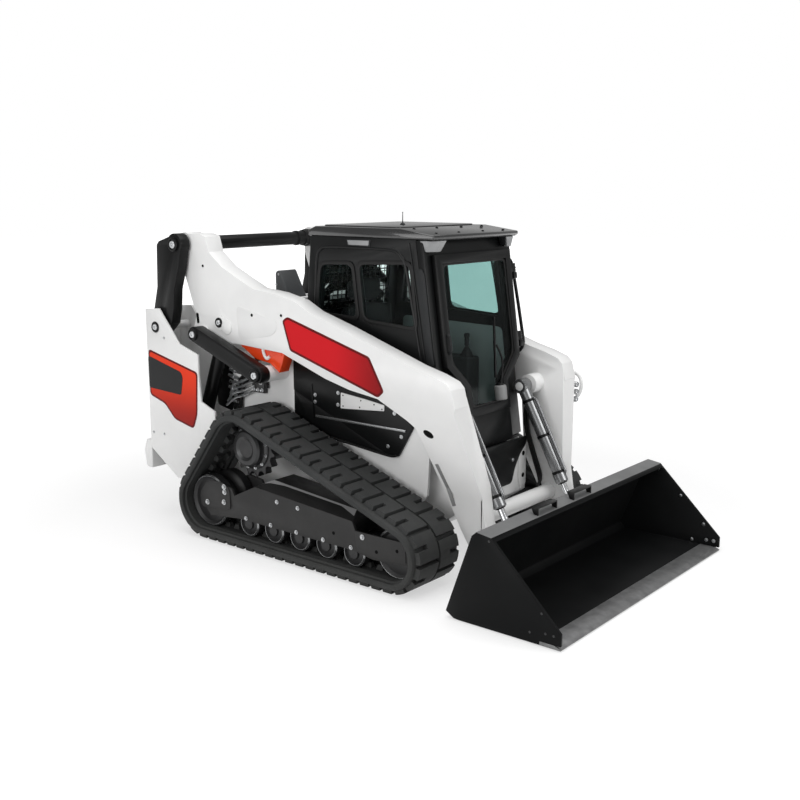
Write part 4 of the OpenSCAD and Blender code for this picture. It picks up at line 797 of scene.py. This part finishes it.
    # The sloping top: a sheet in a grey far lighter than the frame's sides, as painted light on the top
    deck = group("track_frame_tops_painted_light", LIT_TOP_GREY)
    quad = [(-0.566, 0.8865, 0.431), (0.272, 0.8865, 0.37), (0.238, 0.8045, 0.4125), (-0.487, 0.8045, 0.4755)]
    loft(deck, *[[(x, s * y, z + dz) for x, y, z in quad] for dz in (0.0025, -0.002)])
    bright = group("track_frame_bolts", BOLT)
    bolts_at(bright, [(-1.026, 0.25), (-0.86, 0.278), (-0.855, 0.385), (-0.851, 0.35)], FRAME_OUT + 0.008, s,
        0.013, 0.012)
    bolts_at(bright, [(x, 0.203) for x in ROLLERS] + [(-0.362, 0.371), (-0.176, 0.365)], FRAME_OUT, s, 0.01,
        0.01)
    bolts_at(bright, [(0.37, 0.29)], FRAME_OUT + 0.006, s, 0.012, 0.01)
    # Dark discs of painted shade stand for the frame's holes
    dark = group("track_frame_holes", HOLE_SHADE)
    for x, z, y in ((0.13, 0.265, FRAME_OUT), (0.481, 0.221, FRAME_OUT + 0.006),
            (0.64, 0.26, FRAME_OUT + 0.006)):
        dot(dark, x, y, z, s, 0.011, 0.0012, 20, 0.001)
    # Cab side: gaskets, ridges, marker lamp and corner trim
    gasket = group("window_gaskets", HOSE, 0.002)
    for pane in PANES:
        edges = rounded(inset(pane, -0.014), 0.06), rounded(inset(pane, 0.01), 0.05)
        band(gasket, [upright(s * y, pts) for y in (0.45, 0.466) for pts in edges])
    ridge = group("cab_ridges", CABIN)
    tube(ridge, upright(s * CAB_Y, [(-0.418, 1.44), (-0.4, 1.8), (-0.386, 1.925), (-0.36, 1.962),
        (-0.304, 1.982), (-0.05, 1.986), (0.24, 1.98), (0.312, 1.945), (0.35, 1.87), (0.41, 1.59),
        (0.468, 1.31)]), 0.01, 10, 5)
    tube(ridge, upright(s * CAB_Y, [(0.372, 2.03), (0.415, 1.8), (0.505, 1.28)]), 0.007, 10, 6)
    plate(group("corner_trim", PLASTIC, 0.003), [(0.425, 1.872), (0.476, 1.878), (0.494, 1.845), (0.57, 1.3),
        (0.52, 1.284)], s, 0.4605, 0.01, 0.014)
    plate(group("marker_frames", PLASTIC, 0.002),
        [(-0.131, 2.038), (0.07, 2.04), (0.064, 1.994), (-0.121, 1.996)], s, 0.4595, 0.006, 0.006)
    plate(group("marker_lenses", LENS, 0.002),
        [(-0.119, 2.031), (0.058, 2.032), (0.053, 2.002), (-0.11, 2.003)], s, 0.464, 0.006, 0.004)
    # Roof lamps, turned round the front corners
    housing = group("roof_lamp_shells", PLASTIC, 0.003)
    glass = group("roof_lamp_lenses", LENS, 0.004)
    for bm, rows in ((housing, ((2.049, [(0.44, 0.455), (0.505, 0.46), (0.548, 0.4), (0.55, 0.315),
            (0.49, 0.315)]), (1.985, [(0.45, 0.44), (0.5, 0.446), (0.532, 0.395), (0.53, 0.345),
            (0.49, 0.345)]))), (glass, ((2.043, [(0.452, 0.461), (0.51, 0.464), (0.5535, 0.402),
            (0.5535, 0.322), (0.52, 0.33)]), (1.978, [(0.466, 0.448), (0.505, 0.452), (0.538, 0.398),
            (0.536, 0.36), (0.51, 0.36)])))):
        loft(bm, *[[(x, s * y, z) for x, y in pts] for z, pts in rows])
    # Cross tube sleeves
    sleeve = group("cross_tube_sleeves", BLACK, body="lift_arms")
    lathe(sleeve, [(0.049, 0.395), (0.056, 0.398), (0.056, 0.418), (0.052, 0.421), (0.052, 0.47),
        (0.06, 0.474), (0.06, 0.5), (0.066, 0.508), (0.066, 0.549), (0.049, 0.549)], (-1.432, 0.0, 1.972),
        (0, s, 0), 40)
    # Cylinder glands, and the pipe and clamps along each tilt barrel
    foot, base = [Vector((x, s * y, z)) for x, y, z in (LIFT_FOOT, TILT_HEAD)]
    lathe(group("lift_glands", BLACK, body="lift_barrels"), [(0.04, 0.7), (0.0515, 0.704), (0.0515, 0.748),
        (0.046, 0.754), (0.03, 0.754)], foot, LIFT_DIR, 36)
    lathe(group("tilt_glands", BRUSHED, body="tilt_barrels"), [(0.034, 0.62), (0.044, 0.624), (0.044, 0.678),
        (0.038, 0.686), (0.0235, 0.686)], base, TILT_DIR, 36)
    pipe = group("tilt_pipes", BRUSHED, body="tilt_barrels")
    tube(pipe, [base + TILT_DIR * t + TILT_UP * h for t, h in ((0.1, 0.036), (0.115, 0.052), (0.14, 0.056),
        (0.38, 0.056), (0.6, 0.056), (0.625, 0.05), (0.64, 0.038))], 0.01, 12, 5)
    clamp = group("tilt_clamps", BLACK, body="tilt_barrels")
    for t in (0.11, 0.36, 0.615):
        lathe(clamp, [(0.0395, t - 0.009), (0.0425, t - 0.009), (0.0425, t + 0.009), (0.0395, t + 0.009)],
            base, TILT_DIR, 32)
    lathe(group("tilt_wipers", BLACK, body="tilt_barrels"),
        [(0.0235, 0.6855), (0.034, 0.6855), (0.031, 0.692), (0.0235, 0.692)], base, TILT_DIR, 32)
    # Hoses down the inside of each leg
    leg_hose = group("leg_hoses", HOSE, body="lift_arms")
    for k in range(2):
        tube(leg_hose, [(0.655 + 0.02 * k, s * 0.45, 1.015), (0.662 + 0.02 * k, s * 0.425, 0.9),
            (0.682 + 0.02 * k, s * 0.404, 0.78), (0.735 + 0.02 * k, s * 0.398, 0.63),
            (0.8 + 0.02 * k, s * 0.385, 0.48), (0.85, s * (0.33 - 0.04 * k), 0.43)], 0.01, 10, 6)
    # Bolts outside and inside the bucket's side plates
    studs = group("bucket_bolts", HUB, body="bucket", slot="worn_steel")
    bolts_at(studs, [(1.701, 0.184), (1.631, 0.063), (1.727, 0.079), (1.777, 0.079), (1.364, 0.505)],
        BUCKET_OUT, s, 0.005, 0.003)
    for x, z in ((1.632, 0.05), (1.732, 0.065), (1.783, 0.067), (1.707, 0.168), (1.537, 0.334),
            (1.368, 0.495)):
        bolt(group("bucket_studs", BOLT, body="bucket", slot="worn_steel"), (x, s * BUCKET_IN, z), (0, -s, 0),
            0.009, 0.006)

# The brace's clip, roof panel, front cover and hood
clip = group("brace_clip", WHITE, 0.002, body="lift_arms")
tube(clip, [(-0.7, -0.667, 1.345), (-0.694, -0.67, 1.3), (-0.68, -0.67, 1.262), (-0.662, -0.667, 1.246),
    (-0.64, -0.664, 1.262)], 0.011, 10, 5)
edge = group("brace_flange", ORANGE, 0.002, body="lift_arms")
strip(edge, (-0.9, -0.6625, 1.308), (-0.53, -0.6625, 1.285), (0, -1, 0), 0.016, 0.006)
# Raised roof panel, in the roof black with its painted sheen
panel = group("roof_panel", ROOF_SHEEN, 0.006)
prism(panel, rounded([(-0.4, -0.4), (0.25, -0.4), (0.25, 0.4), (-0.4, 0.4)], 0.05), "z", 2.108, 2.12)
visor = group("roof_visor_trim", PLASTIC, 0.002)
prism(visor, [(0.33, -0.44), (0.548, -0.44), (0.548, 0.44), (0.33, 0.44)], "z", 2.046, 2.0515)
caps = group("roof_bolts", BLACK)
for y in (-0.36, -0.13, 0.13, 0.36):
    for x, z in ((0.33, 2.108), (0.5, 2.085)):
        bolt(caps, (x, y, z), (0.131, 0, 0.991), 0.0075, 0.006)
cover = group("front_cover", CABIN, 0.006)
prism(cover, rounded([(-0.392, 0.735), (0.392, 0.735), (0.385, 0.68), (0.318, 0.63), (0.255, 0.545),
    (0.215, 0.44), (-0.215, 0.44), (-0.255, 0.545), (-0.318, 0.63), (-0.385, 0.68)], 0.03), "x", 0.686, 0.704)
fill = group("front_step", PLASTIC, 0.004)
prism(fill, [(0.6, 0.7), (0.692, 0.69), (0.704, 0.64), (0.69, 0.64), (0.6, 0.68)], "y", -0.3, 0.3)
for y in (-0.22, 0.22):
    bolt(group("front_bolts", BOLT, slot="cast_iron"), (0.704, y, 0.6), (1, 0, 0), 0.009, 0.007)
for s in (-1, 1):
    eye = group("front_plates", WHITE, 0.003)
    prism(eye, rounded([(s * 0.3, 0.66), (s * 0.388, 0.69), (s * 0.388, 0.4), (s * 0.33, 0.37),
        (s * 0.3, 0.47)], 0.02), "x", 0.688, 0.7)
    # Dark discs of painted shade stand for the plates' holes
    for z in (0.62, 0.47):
        lathe(group("front_plate_holes", HOLE_SHADE), [(0.016, 0.0), (0.016, 0.0015), (0.0, 0.0015)],
            (0.7, s * 0.352, z), (1, 0, 0), 24)

HOOD_N = (-0.1203, 0, 0.9927)


def hood_z(x):
    """Height of the hood's sloping top."""
    return 1.5 + (x + 1.715) * 0.14 / 1.155


# Dark strips of painted shade stand for the hood's slots
slits = group("hood_slots", HOLE_SHADE)
for k in range(12):
    x = -1.56 + 0.045 * k
    strip(slits, (x, -0.3, hood_z(x)), (x, 0.1, hood_z(x)), HOOD_N, 0.016, 0.0012)
lid = group("hood_lid", WHITE, 0.003)
LID = [(-0.98, -0.12), (-0.62, -0.12), (-0.62, 0.44), (-0.98, 0.44)]
loft(lid, *[[(x, y, hood_z(x) + dz) for x, y in LID] for dz in (-0.002, 0.014)])
for bx, bz in ((-0.893, 1.7), (-0.87, 1.77)):
    bolt(group("intake_bolts", BOLT, slot="cast_iron"), (bx, -0.3405, bz), (0, -1, 0), 0.006, 0.005)
handle = group("tailgate_latch", PLASTIC, 0.003, body="tailgate")
block(handle, (-1.806, -0.44, 0.98), (-1.792, -0.39, 1.13))
tube(handle, [(-1.8, -0.415, 1.0), (-1.818, -0.415, 1.02), (-1.818, -0.415, 1.09), (-1.8, -0.415, 1.11)],
    0.008, 8, 4)


# Front: door trim, wiper, guard tube, hinge covers
LEAN = math.radians(8.0)


def front(y, v, x):
    """Point on the cab's leaning front: across, up the slope, out from it."""
    return Vector((0.661 + x * math.cos(LEAN) - v * math.sin(LEAN), y,
        0.72696 + v * math.cos(LEAN) + x * math.sin(LEAN)))


FRONT_N, FRONT_V = Vector((math.cos(LEAN), 0, math.sin(LEAN))), Vector((-math.sin(LEAN), 0, math.cos(LEAN)))
door_edge = [(-0.18, 0.272), (0.18, 0.272), (0.18, 0.412), (0.345, 0.572), (0.345, 1.186), (-0.345, 1.186),
    (-0.345, 0.572), (-0.18, 0.412)]
seal = group("door_seal", HOSE, 0.0015, body="door")
outer, inner = rounded(inset(door_edge, -0.006), 0.055), rounded(inset(door_edge, 0.014), 0.045)
band(seal, [[front(y, v, x) for y, v in pts] for x in (0.022, 0.034) for pts in (outer, inner)])
motor = group("wiper_cover", PLATEGREY, 0.002, body="door")
lathe(motor, [(0.0, 0.285), (0.036, 0.285), (0.04, 0.29), (0.04, 0.372), (0.034, 0.38), (0.0, 0.38)],
    front(0.11, 0.0, 0.058), FRONT_V, 28)
wiper = group("wiper", BLACK, 0.001, body="door")
tube(wiper, [front(0.11, 0.38, 0.06), front(0.13, 0.43, 0.064), front(0.165, 0.54, 0.056),
    front(0.135, 0.64, 0.044)], 0.007, 8, 6)
strip(wiper, front(0.095, 0.43, 0.036), front(0.142, 0.82, 0.036), FRONT_N, 0.014, 0.01)
lathe(wiper, [(0.0, 0.0), (0.026, 0.0), (0.026, 0.014), (0.018, 0.02), (0.0, 0.02)],
    front(0.11, 0.372, 0.058), FRONT_V, 20)
grip = group("door_handle", PLASTIC, 0.003, body="door")
tube(grip, [front(-0.372, 0.64, 0.036), front(-0.372, 0.655, 0.06), front(-0.372, 0.74, 0.06),
    front(-0.372, 0.755, 0.036)], 0.008, 10, 5)
guard = bmesh.new()
tube(guard, [(0.403, 0.455, 1.877), (0.407, 0.48, 1.88), (0.418, 0.508, 1.884), (0.434, 0.526, 1.884),
    (0.452, 0.53, 1.872), (0.47, 0.53, 1.82), (0.518, 0.53, 1.6), (0.563, 0.53, 1.37), (0.566, 0.53, 1.33),
    (0.556, 0.53, 1.296), (0.534, 0.528, 1.272), (0.508, 0.515, 1.266), (0.495, 0.49, 1.267),
    (0.489, 0.455, 1.267)], 0.0115, 14, 5)
for p in ((0.403, 0.4605, 1.877), (0.489, 0.4605, 1.267)):
    lathe(guard, [(0.024, 0.0), (0.024, 0.004), (0.014, 0.009), (0.0115, 0.009)], p, (0, 1, 0), 24)
piece("door_guard_tube", guard, BLACK, "frame", "black_paint", stands_for=("door_guard",))
covers = group("hinge_covers", PLASTIC, 0.002)
for v in (0.637, 1.086):
    c = front(0.0, v, -0.02)
    block(covers, (c.x - 0.026, 0.4605, c.z - 0.042), (c.x + 0.02, 0.5, c.z + 0.042))
    for k in range(5):
        z = c.z - 0.034 + 0.017 * k
        block(covers, (c.x - 0.029, 0.4605, z - 0.004), (c.x + 0.023, 0.505, z + 0.004))

# Antenna and couplers
mast = bmesh.new()
lathe(mast, [(0.006, 2.111), (0.006, 2.118), (0.0045, 2.124), (0.003, 2.15), (0.0022, 2.196), (0.0036, 2.198),
    (0.003, 2.202), (0.0, 2.202)], (0.043, -0.115, 0.0), (0, 0, 1), 16)
lathe(mast, [(0.017, 2.1195), (0.017, 2.124), (0.01, 2.132), (0.0045, 2.132)], (0.043, -0.115, 0.0),
    (0, 0, 1), 24)
piece("antenna_mast", mast, PLASTIC, "frame", "dark_plastic", stands_for=("antenna",))
lo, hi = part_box("aux_couplers")
cup = bmesh.new()
block(cup, (lo[0], 0.6851, lo[2]), (lo[0] + 0.11, 0.745, hi[2]))
for x, z in ((lo[0] + 0.018, lo[2] + 0.018), (lo[0] + 0.018, hi[2] - 0.018)):
    bolt(cup, (x, 0.745, z), (0, 1, 0), 0.009, 0.008)
piece("coupler_block", cup, BLACK, "lift_arms", "black_paint", 0.003, stands_for=("aux_couplers",))
nip = group("couplers", CHROME, body="lift_arms")
cap = group("coupler_caps", HOSE, 0.001, body="lift_arms")
mid_z = (lo[2] + hi[2]) / 2
for k in (-1, 0, 1):
    at_k = (lo[0] + 0.11, 0.715, mid_z + 0.05 * k)
    lathe(nip, [(0.021, -0.002), (0.021, 0.01), (0.016, 0.014), (0.016, 0.034), (0.022, 0.038), (0.022, 0.07),
        (0.018, 0.074), (0.018, 0.084), (0.02, 0.088), (0.02, 0.106), (0.017, 0.11), (0.012, 0.11),
        (0.011, 0.1), (0.0, 0.1)], at_k, (1, 0.12, 0), 28)
    lathe(nip, [(0.014, 0.0), (0.014, 0.022), (0.01, 0.026), (0.0, 0.026)],
        (lo[0] + 0.03 + 0.028 * (k + 1), 0.744, mid_z), (0, 1, 0), 6)
    tube(cap, [(lo[0] + 0.02, 0.715, mid_z + 0.045 * k), (lo[0] - 0.05, 0.706, mid_z + 0.04 * k + 0.02),
        (lo[0] - 0.11, 0.698, mid_z + 0.03 * k + 0.07), (lo[0] - 0.15, 0.69, mid_z + 0.03 * k + 0.1)], 0.01,
        10, 5)
hoop = group("coupler_guard", WHITE, body="lift_arms")
tube(hoop, [(0.64, 0.672, 1.12), (0.655, 0.712, 1.122), (0.7, 0.752, 1.128), (0.793, 0.764, 1.13),
    (0.86, 0.764, 1.112), (0.89, 0.762, 1.06), (0.88, 0.758, 0.99), (0.835, 0.735, 0.925), (0.8, 0.69, 0.905),
    (0.79, 0.655, 0.9)], 0.013, 12, 5)

# Seat: suspension, cushions and piping
CUSH = 1.12


def cushion(name, centre, size, seams=(), hard=5.0, cuts=15, stands_for=()):
    """Stuffed block with stitched grooves across it."""
    bm = bmesh.new()
    bmesh.ops.create_cube(bm, size=2.0)
    bmesh.ops.subdivide_edges(bm, edges=bm.edges[:], cuts=cuts, use_grid_fill=True)
    for v in bm.verts:
        p = v.co
        p = p / (abs(p.x) ** hard + abs(p.y) ** hard + abs(p.z) ** hard) ** (1 / hard)
        sink = sum(math.exp(-((p[axis] - place) / 0.055) ** 2) for axis, place in seams)
        v.co = Vector([p[k] * size[k] / 2 - (p.normalized()[k] * 0.009 * sink) + centre[k] for k in range(3)])
    o = piece(name, bm, FABRIC, "frame", SLOT_OF["seat"], sharp=180.0, stands_for=stands_for)
    return o


cushion("seat_cushion", (-0.07, 0.0, CUSH - 0.065), (0.5, 0.46, 0.13), ((1, -0.62), (1, 0.62), (0, 0.45)),
    stands_for=("seat",))
cushion("seat_back", (-0.383, 0.0, 1.335), (0.112, 0.46, 0.49), ((1, -0.6), (1, 0.6), (2, 0.25), (2, -0.35)))
cushion("seat_headrest", (-0.39, 0.0, 1.672), (0.092, 0.29, 0.15), ((2, 0.0),), 4.0, 11)
for s, tag in SIDES:
    cushion("seat_armrest_" + tag, (-0.18, s * 0.205, 1.245), (0.28, 0.062, 0.056), ((0, 0.5),), 4.0, 9)
    tube(group("seat_stays", PLASTIC), [(-0.33, s * 0.205, 1.13), (-0.32, s * 0.205, 1.2),
        (-0.29, s * 0.205, 1.236)], 0.012, 10, 5)
    tube(group("seat_stays", PLASTIC), [(-0.395, s * 0.075, 1.56), (-0.395, s * 0.075, 1.62)], 0.009, 10, 4)
    trim = group("seat_piping", PIPING, slot=SLOT_OF["seat"])
    tube(trim, [(-0.3, s * 0.226, CUSH - 0.02), (-0.07, s * 0.231, CUSH - 0.018),
        (0.15, s * 0.222, CUSH - 0.026)], 0.004, 8, 8)
    tube(trim, [(-0.33, s * 0.222, 1.12), (-0.326, s * 0.226, 1.33), (-0.334, s * 0.216, 1.56)], 0.004, 8, 8)
    # Joysticks
    jx, jy = 0.24, s * 0.335
    boots = group("joystick_boots", HOSE)
    lathe(boots, [(0.048, 1.229), (0.048, 1.236), (0.034, 1.24), (0.04, 1.248), (0.029, 1.254),
        (0.034, 1.262), (0.023, 1.268), (0.026, 1.276), (0.016, 1.282), (0.012, 1.3)], (jx, jy, 0.0),
        (0, 0, 1), 28)
    sticks = group("joystick_grips", PLASTIC)
    lathe(sticks, [(0.01, 1.231), (0.012, 1.3), (0.018, 1.308), (0.015, 1.322), (0.018, 1.338),
        (0.016, 1.352), (0.02, 1.366), (0.02, 1.38), (0.014, 1.388), (0.0, 1.39)], (jx, jy, 0.0), (0, 0, 1),
        24)
stem = bmesh.new()
for k in range(6):
    d = 0.01 * (k % 2)
    z = 0.735 + 0.042 * k
    prism(stem, rounded([(-0.32 + d, -0.19 + d), (0.04 - d, -0.19 + d), (0.04 - d, 0.19 - d),
        (-0.32 + d, 0.19 - d)], 0.04), "z", z - 0.014, z + 0.03)
piece("seat_suspension", stem, HOSE, "frame", "rubber", 0.005)
# Liners on the cab's inner walls, pale as painted light
for s in (-1, 1):
    wall = group("cab_liners", LINER_PAINTED_LIGHT, 0.003)
    plate(wall, [(-0.38, 0.76), (0.56, 0.76), (0.5, 1.2), (0.47, 1.44), (-0.38, 1.46)], s, 0.4125, 0.006,
        0.04)

# Wire screens inside the rear window and the left rear pane
MESH, WIRE = 0.045, 0.0028


def crossing(pts, axis, value):
    """Where a line across an outline enters and leaves it."""
    hits = []
    for p, q in zip(pts, pts[1:] + pts[:1]):
        if (p[axis] - value) * (q[axis] - value) < 0:
            f = (value - p[axis]) / (q[axis] - p[axis])
            hits.append(p[1 - axis] + f * (q[1 - axis] - p[1 - axis]))
    return (min(hits), max(hits)) if len(hits) > 1 else None


def screen_bars(bm, pts, place):
    """Wires both ways across an outline; place gives each of its points in space."""
    for axis in (0, 1):
        lo_a, hi_a = min(p[axis] for p in pts), max(p[axis] for p in pts)
        count = max(2, round((hi_a - lo_a) / MESH))
        for k in range(1, count):
            value = lo_a + (hi_a - lo_a) * k / count
            ends = crossing(pts, axis, value)
            if ends:
                tube(bm, [place(*((value, e) if axis == 0 else (e, value))) for e in ends], WIRE, 6,
                    straight=True)


bars = group("window_screens", BLACK)
screen_bars(bars, PANES[0], lambda u, v: (u, 0.428, v))
pane_pts = [v.co for v in frame["nodes"]["rear_glass"].data.vertices]
z_lo, z_hi = min(p.z for p in pane_pts), max(p.z for p in pane_pts)
x_lo = max(p.x for p in pane_pts if p.z < z_lo + 0.002)
x_hi = max(p.x for p in pane_pts if p.z > z_hi - 0.002)
screen_bars(bars, [(-0.33, z_lo), (0.33, z_lo), (0.33, z_hi), (-0.33, z_hi)],
    lambda u, v: (x_lo + (x_hi - x_lo) * (v - z_lo) / (z_hi - z_lo) + 0.005, u, v))
screen = group("monitor", PLASTIC, 0.006)
block(screen, (0.392, -0.395, 1.47), (0.416, -0.25, 1.6))
tube(screen, [(0.395, -0.38, 1.5), (0.38, -0.4, 1.48), (0.372, -0.418, 1.47)], 0.012, 10, 5)

STANDS_FOR = {"joystick_grips": ("joysticks",), "roof_lamp_lenses": ("roof_lamps",)}
for label, (bm, material, body, slot_name, bevel) in GROUPS.items():
    piece(label, bm, material, body, slot_name, bevel, stands_for=STANDS_FOR.get(label, ()))

# Camera, floor and light
CAMERA_AT, CAMERA_LOOK = (4.4554, -5.5806, 2.3723), (-0.61786, 0.76152, -0.19582)
cam = bpy.data.objects.new("camera", bpy.data.cameras.new("camera"))
SCENE.collection.objects.link(cam)
cam.data.sensor_width = 36.0
cam.data.lens = 48.49
cam.data.clip_end = 200.0
SCENE.camera = cam


def aimed(o, place, direction):
    o.location = place
    o.rotation_mode = "QUATERNION"
    o.rotation_quaternion = Vector(direction).to_track_quat("-Z", "Y")


aimed(cam, CAMERA_AT, CAMERA_LOOK)

FLOOR_HALF = 40.0
FLOOR_GLOW = 1.35
SHADOW_NEAR, SHADOW_FAR, SHADOW_SHARE = 2.6, 7.0, 0.42


def floor():
    """Pale floor that glows only for what is seen, least close to the machine so that its shadow shows."""
    bm = bmesh.new()
    bm.faces.new([bm.verts.new((x * FLOOR_HALF, y * FLOOR_HALF, 0.0)) for x,
        y in ((-1, -1), (1, -1), (1, 1), (-1, 1))])
    mesh = bpy.data.meshes.new("floor")
    bm.to_mesh(mesh)
    bm.free()
    o = bpy.data.objects.new("floor", mesh)
    SCENE.collection.objects.link(o)
    m = bpy.data.materials.new("floor_white")
    m.use_nodes = True
    t = m.node_tree
    t.nodes.clear()
    out = t.nodes.new("ShaderNodeOutputMaterial")
    diffuse = node_of(t, "ShaderNodeBsdfDiffuse", Color=(0.8, 0.8, 0.8, 1))
    glow = node_of(t, "ShaderNodeEmission", Color=(1, 1, 1, 1), Strength=FLOOR_GLOW)
    rays = t.nodes.new("ShaderNodeLightPath").outputs
    seen = combined(t, "ADD", rays["Is Camera Ray"], rays["Is Glossy Ray"])
    seen = combined(t, "ADD", seen, rays["Is Transmission Ray"])
    reach = node_of(t, "ShaderNodeVectorMath", operation="LENGTH")
    t.links.new(t.nodes.new("ShaderNodeTexCoord").outputs["Object"], reach.inputs[0])
    fade = scaled(t, reach.outputs["Value"], SHADOW_SHARE, 1.0, SHADOW_NEAR, SHADOW_FAR)
    blended(t, combined(t, "MULTIPLY", seen, fade, clamp=True), diffuse, glow, out)
    mesh.materials.append(m)


floor()
SKY_LIGHT, SKY_SEEN = 0.38, 1.0
world = bpy.data.worlds.new("studio")
SCENE.world = world
world.use_nodes = True
sky = world.node_tree
back = sky.nodes["Background"]
sky_rays = sky.nodes.new("ShaderNodeLightPath").outputs
sky_seen = combined(sky, "MAXIMUM", sky_rays["Is Camera Ray"], sky_rays["Is Transmission Ray"])
back.inputs["Color"].default_value = (1, 1, 1, 1)
sky.links.new(scaled(sky, sky_seen, SKY_LIGHT, SKY_SEEN), back.inputs["Strength"])


def lamp(name, place, aim, size, watts):
    data = bpy.data.lights.new(name, "AREA")
    data.shape = "RECTANGLE"
    data.size, data.size_y = size
    data.energy = watts
    o = bpy.data.objects.new(name, data)
    SCENE.collection.objects.link(o)
    aimed(o, place, Vector(aim) - Vector(place))


lamp("top_softbox", (0.4, -0.6, 6.5), (0.0, 0.0, 0.5), (7.0, 7.0), 300)
lamp("front_softbox", (6.5, 0.5, 3.2), (0.2, 0.0, 0.9), (3.5, 3.0), 118)
lamp("side_softbox", (-0.3, -7.0, 2.4), (0.0, 0.0, 0.7), (5.0, 3.2), 142)
SCENE.view_settings.view_transform = "Standard"
